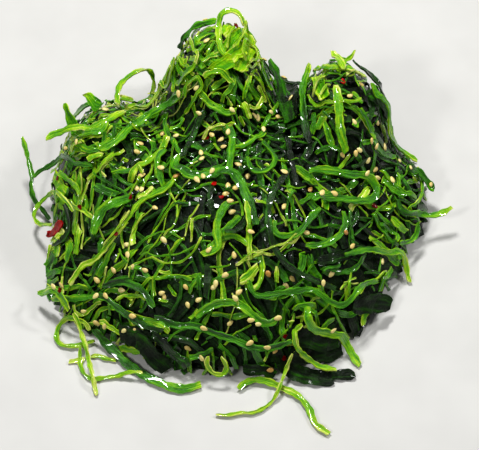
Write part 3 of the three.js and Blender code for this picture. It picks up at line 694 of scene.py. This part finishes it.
def lay(path, ground, surface, normals, width, thickness):
    """A strip along a path on the floor plan, resting on what lies there and limp over its dips."""
    cells = cells_at(path[:, 0], path[:, 1])
    along = unit(np.gradient(np.column_stack([path, surface[cells]]), axis=0))
    across = unit(np.cross(normals[cells], along))
    out = np.cross(along, across)
    offsets = WIDTH_SHARES[:, None, None] * width * across
    edges = path + offsets[..., :2]
    rest = (ground[cells_at(edges[..., 0], edges[..., 1])] - offsets[..., 2]).max(axis=0)
    rest = rest + (thickness / 2 + RESTING_GAP) / np.maximum(out[:, 2], FLATTEST_NORMAL)
    height = rest.copy()
    for _ in range(SETTLING_ROUNDS):
        height[1:-1] = np.maximum(height[1:-1], (height[:-2] + height[2:]) / 2 - STRIP_SAG)
    height[1:-1] = np.maximum((height[:-2] + 2 * height[1:-1] + height[2:]) / 4, rest[1:-1])
    centre = np.column_stack([path, height])
    along = unit(np.gradient(centre, axis=0))
    across = unit(np.cross(normals[cells], along))
    return np.hstack([centre, across, np.cross(along, across)])


def cover(ground, line, width, thickness):
    """Add a laid strip to the ground."""
    run = run_of(line[:, :3])
    even = np.arange(0, run[-1], GROUND_CELL)
    fine = np.column_stack([np.interp(even, run, column) for column in line.T])
    centre, across, out = np.split(fine, 3, axis=1)
    shares = np.linspace(-0.5, 0.5, max(3, int(2 * width / GROUND_CELL)))[:, None, None]
    tops = centre + shares * width * unit(across)
    tops[..., 2] += thickness / 2 / np.maximum(unit(out)[:, 2], FLATTEST_NORMAL)
    raise_ground(ground, tops)


def lift_tips(line, random, most):
    """Let the ends of some strips stand away from the heap."""
    run = run_of(line[:, :3])
    for from_end in (run, run[-1] - run):
        if random.random() < TIP_CHANCE:
            line[:, 2] += random.uniform(0, most) * np.clip(1 - from_end / TIP_REACH, 0, 1) ** 2


def wandering_paths(random, surface, ground, layer):
    """Paths over the floor plan that wander from where a layer lies lowest, in even steps on the slopes."""
    slope_y, slope_x = np.gradient(blurred(surface, SLOPE_BLUR), GROUND_CELL)
    rows, columns = np.nonzero(surface > RIM_HEIGHT)
    x = columns * GROUND_CELL - GROUND_REACH
    y = rows * GROUND_CELL - GROUND_REACH
    steep = np.hypot(slope_x, slope_y)[rows, columns]
    front = (y < DARK_FRONT_Y) & (x > DARK_FRONT_X)
    crowded = (np.hypot(x, y) > CROWDED_PAST) | (surface[rows, columns] > CROWDED_ABOVE)
    crowd = np.where(front, layer["front"], 1 + layer["crowding"] * crowded) * np.sqrt(1 + steep ** 2)
    steps = int(layer["lengths"][1] / layer["spacing"])
    for _ in range(layer["tries"] // TRIES_AT_ONCE):
        lack = np.clip((surface - ground)[rows, columns] - layer["under"], LEAST_LACK, None) * crowd
        chosen = random.choice(len(rows), TRIES_AT_ONCE, p=lack / lack.sum())
        place = np.column_stack([x[chosen], y[chosen]])
        heading = random.uniform(0, 2 * np.pi, TRIES_AT_ONCE)
        bend = random.normal(0, 2 * layer["bend"], TRIES_AT_ONCE)
        paths = np.zeros((TRIES_AT_ONCE, steps, 2))
        for step in range(steps):
            paths[:, step] = place
            bend = BEND_KEPT * bend + random.normal(0, layer["bend"], TRIES_AT_ONCE)
            heading = heading + np.clip(bend, -TIGHTEST_BEND, TIGHTEST_BEND) * layer["spacing"]
            ahead = np.column_stack([np.cos(heading), np.sin(heading)])
            cells = cells_at(place[:, 0], place[:, 1])
            climb = ahead[:, 0] * slope_x[cells] + ahead[:, 1] * slope_y[cells]
            place = place + ahead * (layer["spacing"] / np.sqrt(1 + climb ** 2))[:, None]
        for path in paths:
            path = path[:int(random.uniform(*layer["lengths"]) / layer["spacing"])]
            off = surface[cells_at(path[:, 0], path[:, 1])] < RIM_HEIGHT
            path = path[:np.argmax(off)] if off.any() else path
            if len(path) * layer["spacing"] > layer["lengths"][0] / 2:
                yield path


# Finishes

def to_linear(colour):
    """An sRGB hex colour as linear red, green, blue and alpha."""
    shares = [int(colour[place:place + 2], 16) / 255 for place in (1, 3, 5)]
    return [share / 12.92 if share <= 0.04045 else ((share + 0.055) / 1.055) ** 2.4 for share in shares] + [1]


def add_node(tree, kind, links=None, **settings):
    """Add a shader node with its settings, and values or links for its sockets."""
    made = tree.nodes.new("ShaderNode" + kind)
    for setting, value in settings.items():
        setattr(made, setting, value)
    for socket, value in (links or {}).items():
        if isinstance(value, bpy.types.NodeSocket):
            tree.links.new(value, made.inputs[socket])
        else:
            made.inputs[socket].default_value = value
    return made


def new_finish(name):
    """A material with an empty node tree, and that tree."""
    finish = bpy.data.materials.new(name)
    finish.use_nodes = True
    finish.node_tree.nodes.clear()
    return finish, finish.node_tree


def close_finish(tree, shader):
    """Lead a shader to the material's surface."""
    add_node(tree, "OutputMaterial", {"Surface": shader.outputs["BSDF"]})


# Where a new stop of a ramp waits for its own place
SPARE_STOP = 0.5


def set_ramp(ramp, colours):
    """Give a colour ramp its stops, from a table of places and hex colours."""
    stops = ramp.color_ramp.elements
    while len(stops) < len(colours):
        stops.new(SPARE_STOP)
    for stop, (place, colour) in zip(stops, colours.items()):
        stop.position = place
        stop.color = to_linear(colour)


# The colours of wakame, from the blackest leaf to a pale cut end. The two darkest stops are lifted a little
# above the leaves' own black-green, partly as a painted sheen of the wet film on dark leaves.
WAKAME_TONES = {
    0.0: "#121A10", 0.12: "#182713", 0.28: "#1D400C", 0.45: "#2A6A07", 0.62: "#4A9509", 0.8: "#80B80B",
    0.9: "#A8CC12", 1.0: "#D6E070",
}

# Patterns on the strips, in millimetres or as a share of the half width. Real fibres are finer and shallower,
# and are drawn as coarse as they need to show.
FIBRE_LENGTH = 9
FIBRE_WIDTH_SHARE = 0.3
FIBRE_HEIGHT = 0.5
FIBRE_TONES = {"To Min": -0.16, "To Max": 0.14}
FIBRE_ROUGHNESS = {"To Min": 0.24, "To Max": 0.42}
MOTTLE_LENGTH = 11
MOTTLE_TONES = {"To Min": -0.24, "To Max": 0.12}
NOISE_SPAN = {"From Min": 0.3, "From Max": 0.7}
PUCKER_SIZE = 1.2
# Thin edges turn paler with the strip's tone: partly the thin flesh's own paler colour, partly a painted
# highlight along the wet edges.
EDGE_PALENESS_AND_HIGHLIGHT = 0.18
EDGE_SHARPNESS = 4

# The wet film, the shine under it and how far light goes into the flesh, in millimetres
WAKAME_LOOKS = {
    "stem": {"name": "blanched_wakame_stem", "coat": 0.55, "shine": 0.2, "flesh_depth": 1.4},
    "leaf": {"name": "blanched_wakame_leaf", "coat": 0.1, "shine": 0.06, "flesh_depth": 0.8},
}


def wakame_finish(name, coat, shine, flesh_depth):
    """Blanched wakame under oil and vinegar: green flesh that light enters, fine fibres along it, darker and
    paler stretches, thin edges made paler partly in their own colour and partly as a painted highlight, and a
    wet film that gives small white glints."""
    finish, tree = new_finish(name)
    readings = {}
    for reading in ("run", "side", "tone"):
        readings[reading] = add_node(tree, "Attribute", attribute_name=reading).outputs["Fac"]
    fibre_run = add_node(tree, "Math", {0: readings["run"], 1: 1 / FIBRE_LENGTH}, operation="MULTIPLY")
    fibre_side = add_node(tree, "Math", {0: readings["side"], 1: 1 / FIBRE_WIDTH_SHARE}, operation="MULTIPLY")
    fibre_place = add_node(tree, "CombineXYZ", {"X": fibre_run.outputs[0], "Y": fibre_side.outputs[0]})
    fibres = add_node(tree, "TexNoise", {"Vector": fibre_place.outputs[0], "Scale": 1.0, "Detail": 3.0})
    mottle_run = add_node(tree, "Math", {0: readings["run"], 1: 1 / MOTTLE_LENGTH}, operation="MULTIPLY")
    mottle_place = add_node(tree, "CombineXYZ", {"X": mottle_run.outputs[0], "Y": readings["side"]})
    mottle = add_node(tree, "TexNoise", {"Vector": mottle_place.outputs[0], "Scale": 1.0, "Detail": 2.0})
    # The section's edges made paler, partly their own colour and partly a painted highlight
    edge = add_node(tree, "Math", {0: readings["side"], 1: EDGE_SHARPNESS}, operation="POWER")
    by_fibre = add_node(tree, "MapRange", {**NOISE_SPAN, **FIBRE_TONES, "Value": fibres.outputs["Fac"]})
    by_mottle = add_node(tree, "MapRange", {**NOISE_SPAN, **MOTTLE_TONES, "Value": mottle.outputs["Fac"]})
    by_edge_and_highlight = add_node(tree, "Math", {0: edge.outputs[0], 1: readings["tone"]}, operation="MULTIPLY")
    by_edge_and_highlight = add_node(tree, "Math", {0: by_edge_and_highlight.outputs[0], 1: EDGE_PALENESS_AND_HIGHLIGHT}, operation="MULTIPLY")
    tone = readings["tone"]
    for gain in (by_fibre, by_mottle, by_edge_and_highlight):
        tone = add_node(tree, "Math", {0: tone, 1: gain.outputs[0]}, operation="ADD").outputs[0]
    colour = add_node(tree, "ValToRGB", {"Fac": tone})
    set_ramp(colour, WAKAME_TONES)
    place = add_node(tree, "TexCoord")
    pucker = add_node(tree, "TexNoise", {"Vector": place.outputs["Object"], "Scale": 1 / (PUCKER_SIZE * MM)})
    relief = add_node(tree, "Math", {0: fibres.outputs["Fac"], 1: pucker.outputs["Fac"]}, operation="ADD")
    bump = add_node(tree, "Bump", {
        "Height": relief.outputs[0], "Distance": FIBRE_HEIGHT * MM, "Strength": 1.0,
    })
    rough = add_node(tree, "MapRange", {**NOISE_SPAN, **FIBRE_ROUGHNESS, "Value": fibres.outputs["Fac"]})
    shader = add_node(tree, "BsdfPrincipled", {
        "Base Color": colour.outputs["Color"], "Roughness": rough.outputs[0], "IOR": 1.42,
        "Specular IOR Level": shine, "Subsurface Weight": 0.2, "Subsurface Radius": (0.5, 1.0, 0.18),
        "Subsurface Scale": flesh_depth * MM, "Coat Weight": coat, "Coat Roughness": 0.03, "Coat IOR": 1.45,
        "Normal": bump.outputs["Normal"],
    })
    close_finish(tree, shader)
    return finish


CHILLI_TONES = {0.05: "#1E0204", 0.3: "#780504", 0.6: "#AE0C07"}
CHILLI_FOLD_SIZE = 1.4
CHILLI_FOLD_HEIGHT = 0.25


def chilli_finish():
    """Dried chilli flesh soaked in dressing: deep red, with painted shade that darkens it where its fold
    relief is low, and a wet shine.
    """
    finish, tree = new_finish("chilli_flesh_in_dressing")
    tone = add_node(tree, "Attribute", attribute_name="tone")
    place = add_node(tree, "TexCoord")
    folds = add_node(tree, "TexNoise", {
        "Vector": place.outputs["Object"], "Scale": 1 / (CHILLI_FOLD_SIZE * MM),
    })
    # Painted shade: the colour darkens where the fold relief is low, as well as on the darker flakes.
    shade = add_node(tree, "Math", {0: folds.outputs["Fac"], 1: tone.outputs["Fac"]}, operation="MULTIPLY")
    colour = add_node(tree, "ValToRGB", {"Fac": shade.outputs[0]})
    set_ramp(colour, CHILLI_TONES)
    bump = add_node(tree, "Bump", {"Height": folds.outputs["Fac"], "Distance": CHILLI_FOLD_HEIGHT * MM})
    shader = add_node(tree, "BsdfPrincipled", {
        "Base Color": colour.outputs["Color"], "Roughness": 0.35, "Specular IOR Level": 0.06,
        "Subsurface Weight": 0.1, "Subsurface Radius": (1.0, 0.15, 0.1), "Subsurface Scale": 0.6 * MM,
        "Coat Weight": 0.1, "Coat Roughness": 0.05, "Normal": bump.outputs["Normal"],
    })
    close_finish(tree, shader)
    return finish


SESAME_COLOURS = {0.0: "#E8D98C", 0.45: "#DCBF68", 1.0: "#B9812F"}

# Real specks are finer, and are drawn as coarse as they need to show.
SESAME_SPECK_SIZE = 0.9
SESAME_SPECK_HEIGHT = 0.08
SESAME_SPECK_TONES = {"To Min": -0.2, "To Max": 0.2}


def sesame_finish():
    """Hulled sesame seed: smooth cream, some toasted to tan, with a satin, slightly oily skin."""
    finish, tree = new_finish("hulled_sesame_seed")
    tone = add_node(tree, "Attribute", attribute_name="tone")
    place = add_node(tree, "TexCoord")
    specks = add_node(tree, "TexNoise", {
        "Vector": place.outputs["Object"], "Scale": 1 / (SESAME_SPECK_SIZE * MM),
    })
    spread = add_node(tree, "MapRange", {**SESAME_SPECK_TONES, "Value": specks.outputs["Fac"]})
    shade = add_node(tree, "Math", {0: tone.outputs["Fac"], 1: spread.outputs[0]}, operation="ADD")
    colour = add_node(tree, "ValToRGB", {"Fac": shade.outputs[0]})
    set_ramp(colour, SESAME_COLOURS)
    bump = add_node(tree, "Bump", {"Height": specks.outputs["Fac"], "Distance": SESAME_SPECK_HEIGHT * MM})
    shader = add_node(tree, "BsdfPrincipled", {
        "Base Color": colour.outputs["Color"], "Roughness": 0.42, "Subsurface Weight": 0.25,
        "Subsurface Radius": (1.0, 0.8, 0.5), "Subsurface Scale": 0.5 * MM, "Coat Weight": 0.25,
        "Coat Roughness": 0.15, "Normal": bump.outputs["Normal"],
    })
    close_finish(tree, shader)
    return finish


# Seeds and flakes

def out_of_sight(random, ground, surface, normals, count):
    """Places on the side of the heap that the photograph doesn't show."""
    rows, columns = np.nonzero((surface > RIM_HEIGHT) & (normals @ VIEW_FORWARD > 0))
    chosen = random.choice(len(rows), count)
    places = np.column_stack([columns[chosen], rows[chosen]]) * GROUND_CELL - GROUND_REACH
    return np.column_stack([places, ground[rows[chosen], columns[chosen]]])


def settled(place):
    """A place on the heap, or the nearest on a strip where the place is clear of all of them."""
    nearest, _, _, gap = min((tree.find_nearest(place) for tree in Strips.laid), key=lambda found: found[3])
    return np.array(nearest) if gap > LARGEST_GAP else place


def lying(place, normals, random):
    """Directions along, across and out of a small thing that lies on the heap at a place."""
    out = unit(normals[cells_at(*place[:2])] + random.normal(0, SMALL_TILT, 3))
    along = unit(np.cross(out, unit(random.normal(0, 1, 3))))
    return np.array([along, np.cross(out, along), out])


def sesame_seed(place, axes, random):
    """The corners of one teardrop seed, ring by ring."""
    length, width, height = np.array(SESAME_SIZE) * random.uniform(*SESAME_SIZES)
    share = np.linspace(0, 1, SESAME_RINGS)[:, None]
    turn = np.arange(SESAME_SIDES) * 2 * np.pi / SESAME_SIDES
    girth = np.sin(np.pi * share ** (1 - SESAME_TAPER)) ** SESAME_BLUNTNESS
    x = (share - 0.5) * length * np.ones(SESAME_SIDES)
    shape = np.dstack([x, girth * np.cos(turn) * width / 2, girth * np.sin(turn) * height / 2])
    return place + shape.reshape(-1, 3) @ axes


def chilli_flake(place, axes, random):
    """The corners of one curled, ragged flake, ring by ring from the middle below to the middle on top."""
    turn = np.arange(CHILLI_FLAKE_SIDES) * 2 * np.pi / CHILLI_FLAKE_SIDES
    reach = CHILLI_FLAKE_SIZE / 2 * random.uniform(*CHILLI_FLAKE_RAGGEDNESS, CHILLI_FLAKE_SIDES)
    rings = []
    for share, rise in FLAKE_RINGS:
        x = share * reach * np.cos(turn)
        y = CHILLI_FLAKE_WIDTH_SHARE * share * reach * np.sin(turn)
        rings.append(np.column_stack([x, y, rise * CHILLI_FLAKE_THICKNESS / 2 + CHILLI_FLAKE_CURL * x ** 2]))
    return place + np.vstack(rings) @ axes


def small_pieces(name, corners, sides, tones, finish, slot):
    """Join many small ringed things into one piece."""
    rings = len(corners[0]) // sides
    walls = walls_between(rings, sides)
    faces = np.concatenate([walls + number * rings * sides for number in range(len(corners))])
    for thing in corners:
        thing[:, 2] += max(0, FLOOR_GAP - thing[:, 2].min())
    mesh = bpy.data.meshes.new(name)
    mesh.from_pydata((np.concatenate(corners) * MM).tolist(), [], faces.tolist())
    mesh.attributes.new("tone", "FLOAT", "POINT").data.foreach_set("value", np.repeat(tones, rings * sides))
    return make_piece(name, mesh, finish, slot, "tangle")


# The heap

def tone_at(place, tone):
    """A tone as it is at a place on the floor plan: dimmer in the middle, and changed in the patches."""
    inwards = np.clip(1 - np.linalg.norm(place) / CROWDED_PAST, 0, 1)
    tone = tone - MIDDLE_DIMNESS * inwards
    for middle, reach, gain in TONE_PATCHES.values():
        tone += gain * (np.linalg.norm(place - middle) < reach)
    return tone


def make_layer(name, layer, random, ground, surface, normals, finishes):
    """One layer of the strips under the outer ones."""
    strips = Strips()
    laid = 0
    for path in wandering_paths(random, surface, ground, layer):
        width = random.uniform(*layer["widths"])
        line = lay(path, ground, surface, normals, width, layer["thickness"])
        depth = surface[cells_at(line[:, 0], line[:, 1])] - line[:, 2] - layer["thickness"] / 2
        if np.mean(depth < layer["under"] - PROUD_ALLOWED) > PROUD_SHARE:
            continue
        cover(ground, line, width, layer["thickness"])
        lift_tips(line, random, layer["tip_lift"])
        tone = tone_at(line[len(line) // 2, :2], random.uniform(*layer["tones"]))
        tones = np.clip(tone + random.uniform(-TONE_SPREAD, TONE_SPREAD, 2), layer["tones"][0] / 2, 1)
        taper = np.linspace(*random.uniform(END_TAPER, 1, 2), len(line))
        strips.add(
            line, width * taper, layer["thickness"], tones, random, layer["section"], layer["twist"],
            RIPPLES[layer["kind"]],
        )
        laid += 1
        if laid == layer["most"]:
            break
    strips.make(name, finishes[layer["kind"]], layer["slot"], "tangle")


def make_leaf_sheet(random, ground, surface, finishes):
    """The pressed dark leaves in the middle: a folded sheet that shows in the gaps between the strips."""
    turns = np.arange(SHEET_SECTORS) * 2 * np.pi / SHEET_SECTORS
    headings = np.column_stack([np.cos(turns), np.sin(turns)])
    rays = np.arange(0, GROUND_REACH, GROUND_CELL)[:, None, None] * headings
    covered = surface[cells_at(rays[..., 0], rays[..., 1])] > RIM_HEIGHT
    reaches = GROUND_CELL * covered.sum(axis=0) - SHEET_INSET
    shares = np.arange(1, SHEET_RINGS + 1) / SHEET_RINGS
    x, y = np.moveaxis((shares[:, None, None] * reaches[:, None] * headings).reshape(-1, 2), 1, 0)
    folds = np.zeros_like(x)
    for _ in range(SHEET_FOLDS):
        heading = random.uniform(0, np.pi)
        along = x * np.cos(heading) + y * np.sin(heading)
        folds += wave_along(along, random.uniform(*SHEET_FOLD_LENGTHS), random)
    height = np.maximum(ground[cells_at(x, y)] + SHEET_FOLD_HEIGHT * folds, FLOOR_GAP)
    sheet = Strips()
    sheet.places.append(np.column_stack([x, y, height]))
    sheet.faces.append(walls_between(SHEET_RINGS, SHEET_SECTORS)[:, ::-1])
    sheet.readings["run"].append(x)
    sheet.readings["side"].append(np.zeros_like(x))
    sheet.readings["tone"].append(np.full_like(x, SHEET_TONE))
    sheet.make("pressed_leaves_inside", finishes["leaf"], "leaf", "tangle")


def make_base_strips(random, surface, finishes):
    """The strips that the heap rests on, flat on the floor."""
    bed = np.where(surface > RIM_HEIGHT, BASE_DEPTH, 0)
    floor = np.zeros_like(surface)
    make_layer("strips_under_the_heap", BASE_LAYER, random, floor, bed, normals_of(floor), finishes)


def make_seen_strips(routes, names, random, ground, surface, normals, finishes):
    """Strips that the photograph shows, along the routes that meet the heap, in a piece for each kind."""
    shown = {"stem": Strips(), "leaf": Strips()}
    for width, tone, route in routes.values():
        places = np.array([seen_at(pixel, surface) for pixel in route])
        met = (places[:, 2] > RIM_HEIGHT / 2) | (places[:, 1] < FLOOR_SEEN_TO)
        if met.sum() < 2:
            continue
        path = smooth_line(places[met], OUTER_SPACING)[:, :2]
        line = lay(path, ground, surface, normals, width, SEEN_THICKNESS)
        kind = "leaf" if width > SEEN_LEAF_WIDTH else "stem"
        thickness = LEAF_THICKNESS if kind == "leaf" else SEEN_THICKNESS
        shown[kind].add(line, width, thickness, (tone, tone), random, "grooved", TWISTS[kind], RIPPLES[kind])
        cover(ground, line, width, SEEN_THICKNESS)
    for kind, name in names.items():
        shown[kind].make(name, finishes[kind], SEEN_SLOTS[kind], "tangle")


def make_outer_strips(random, ground, finishes):
    """The strips on the outside, each in the place of its solid."""
    for subpart in frame["record"]["subparts"]:
        node, slot = subpart["node"], subpart["material_slot"]
        if node == "tangle":
            continue
        line, thickness = line_of_solid(node)
        fine = smooth_line(line, OUTER_SPACING)
        width = np.linalg.norm(fine[:, 3:6], axis=1)
        share = np.linspace(0, 1, len(width))
        width = width * (1 - WAISTED_STEMS.get(node, 0) * np.sin(np.pi * share) ** 2)
        if node in POINTED_LEAVES:
            width = width * np.clip(POINT_SHARE + (1 - POINT_SHARE) * share / POINT_REACH, 0, 1)
        tones = STRIP_TONES.get(node, SLOT_TONES[slot])
        kind = {STEM_THICKNESS: "stem", LEAF_THICKNESS: "leaf", CHILLI_THICKNESS: "chilli"}[thickness]
        strip = Strips()
        strip.add(fine, width, thickness, tones, random, "grooved", TWISTS[kind], RIPPLES[kind])
        strip.make(node + "_strip", finishes[kind], slot, node)
        cover(ground, fine, width.max(), thickness)


def make_sesame(random, ground, surface, normals, finishes):
    """The seeds that the photograph shows, and others out of its sight."""
    hidden = out_of_sight(random, ground, surface, normals, SESAME_HIDDEN)
    shown = np.array([seen_at(pixel, ground) for pixel in SESAME_PIXELS + TOASTED_PIXELS])
    tones = np.concatenate([
        random.uniform(*SESAME_TONES, len(SESAME_PIXELS)),
        random.uniform(*TOASTED_TONES, len(TOASTED_PIXELS)),
        random.uniform(*SESAME_TONES, len(hidden)),
    ])
    corners = []
    for place in map(settled, np.vstack([shown, hidden])):
        axes = lying(place, normals, random)
        corners.append(sesame_seed(place + axes[2] * (SESAME_SIZE[2] / 2 - SESAME_SUNK), axes, random))
    small_pieces("sesame_seeds", corners, SESAME_SIDES, tones, finishes["sesame"], "sesame")


def make_chilli(random, ground, surface, normals, finishes):
    """The chilli flakes that the photograph shows, and others out of its sight."""
    hidden = out_of_sight(random, ground, surface, normals, CHILLI_HIDDEN)
    shown = np.array([seen_at(pixel, ground) for pixel in BRIGHT_CHILLI_PIXELS + DARK_CHILLI_PIXELS])
    tones = np.full(len(shown) + len(hidden), DARK_CHILLI_TONE)
    tones[:len(BRIGHT_CHILLI_PIXELS)] = BRIGHT_CHILLI_TONE
    corners = []
    for place in map(settled, np.vstack([shown, hidden])):
        axes = lying(place, normals, random)
        corners.append(chilli_flake(place + axes[2] * CHILLI_FLAKE_THICKNESS / 2, axes, random))
    small_pieces("chilli_flakes", corners, CHILLI_FLAKE_SIDES, tones, finishes["chilli"], "chilli")


def make_heap():
    """The whole heap, from the floor up to the seeds."""
    random = np.random.default_rng(SEED)
    surface = tangle_surface()
    normals = normals_of(surface)
    ground = np.maximum(surface - HOLLOW_DEPTH, 0)
    finishes = {kind: wakame_finish(**looks) for kind, looks in WAKAME_LOOKS.items()}
    finishes["chilli"] = chilli_finish()
    finishes["sesame"] = sesame_finish()
    faces = unit(normals - TURN_TO_VIEW * VIEW_FORWARD)
    make_base_strips(random, surface, finishes)
    make_leaf_sheet(random, ground, surface, finishes)
    for name, layer in INNER_LAYERS.items():
        lying_on = normals if layer["kind"] == "leaf" else faces
        make_layer(name, layer, random, ground, surface, lying_on, finishes)
    under = {"stem": "inner_strips_that_show", "leaf": "inner_leaves_that_show"}
    make_seen_strips(SEEN_STRIPS, under, random, ground, surface, faces, finishes)
    make_outer_strips(random, ground, finishes)
    over = {"stem": "thin_strips_on_top"}
    make_seen_strips(TOP_STRIPS, over, random, ground, surface, faces, finishes)
    make_sesame(random, ground, surface, normals, finishes)
    make_chilli(random, ground, surface, normals, finishes)


# Floor, lights and camera

FLOOR_SIZE = 4.0
FLOOR_COLOURS = {0.3: "#C4C3BF", 0.7: "#CAC9C5"}
FLOOR_GRAIN_SIZE = 25

# Softboxes: the place in metres, the side in metres and the power in watts
SOFTBOXES = {
    "softbox_above": ((-0.1, 0.3, 0.8), 0.14, 6.7),
    "softbox_right": ((0.55, 0.1, 0.6), 0.1, 2.6),
    "softbox_front_left": ((-0.4, -0.5, 0.7), 0.12, 2.6),
}
LIGHT_AIM = (0, 0, 0.03)
ROOM_COLOUR = "#E6E8EA"
ROOM_STRENGTH = 0.15


def make_floor():
    """A matt white laminate table top: pale and faintly uneven, with soft reflections only."""
    finish, tree = new_finish("matt_white_laminate")
    place = add_node(tree, "TexCoord")
    grain = add_node(tree, "TexNoise", {
        "Vector": place.outputs["Object"], "Scale": 1 / (FLOOR_GRAIN_SIZE * MM),
    })
    colour = add_node(tree, "ValToRGB", {"Fac": grain.outputs["Fac"]})
    set_ramp(colour, FLOOR_COLOURS)
    shader = add_node(tree, "BsdfPrincipled", {"Base Color": colour.outputs["Color"], "Roughness": 0.6})
    close_finish(tree, shader)
    mesh = bpy.data.meshes.new("floor")
    half = FLOOR_SIZE / 2
    corners = [(-half, -half, 0), (half, -half, 0), (half, half, 0), (-half, half, 0)]
    mesh.from_pydata(corners, [], [(0, 1, 2, 3)])
    mesh.materials.append(finish)
    floor = bpy.data.objects.new("floor", mesh)
    bpy.context.scene.collection.objects.link(floor)
    floor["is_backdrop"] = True


def aim(thing, place, target):
    """Put a light or the camera at a place, looking at a target."""
    direction = Vector(target) - Vector(place)
    thing.matrix_world = Matrix.Translation(place) @ direction.to_track_quat("-Z", "Y").to_matrix().to_4x4()


def make_light(name, place, side, power):
    """A square softbox that is aimed at the heap."""
    data = bpy.data.lights.new(name, "AREA")
    data.shape = "SQUARE"
    data.size = side
    data.energy = power
    light = bpy.data.objects.new(name, data)
    bpy.context.scene.collection.objects.link(light)
    aim(light, place, LIGHT_AIM)


def make_view():
    """The softboxes, the pale room and the camera of the photograph."""
    for name, (place, side, power) in SOFTBOXES.items():
        make_light(name, place, side, power)
    world = bpy.data.worlds.new("studio")
    world.use_nodes = True
    background = world.node_tree.nodes["Background"]
    background.inputs["Color"].default_value = to_linear(ROOM_COLOUR)
    background.inputs["Strength"].default_value = ROOM_STRENGTH
    bpy.context.scene.world = world
    bpy.context.scene.view_settings.view_transform = "Standard"
    data = bpy.data.cameras.new("photograph_view")
    data.sensor_width = SENSOR_WIDTH
    data.lens = PIXELS_PER_MM * VIEW_DISTANCE * SENSOR_WIDTH / PHOTO_WIDTH
    camera = bpy.data.objects.new("photograph_view", data)
    bpy.context.scene.collection.objects.link(camera)
    aim(camera, VIEW_EYE * MM, VIEW_AIM * MM)
    bpy.context.scene.camera = camera


make_heap()
make_floor()
make_view()
boxes = {"cad": CAD_BOUNDS, "visual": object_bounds()}
{name: [list(corner) for corner in box] for name, box in boxes.items()}
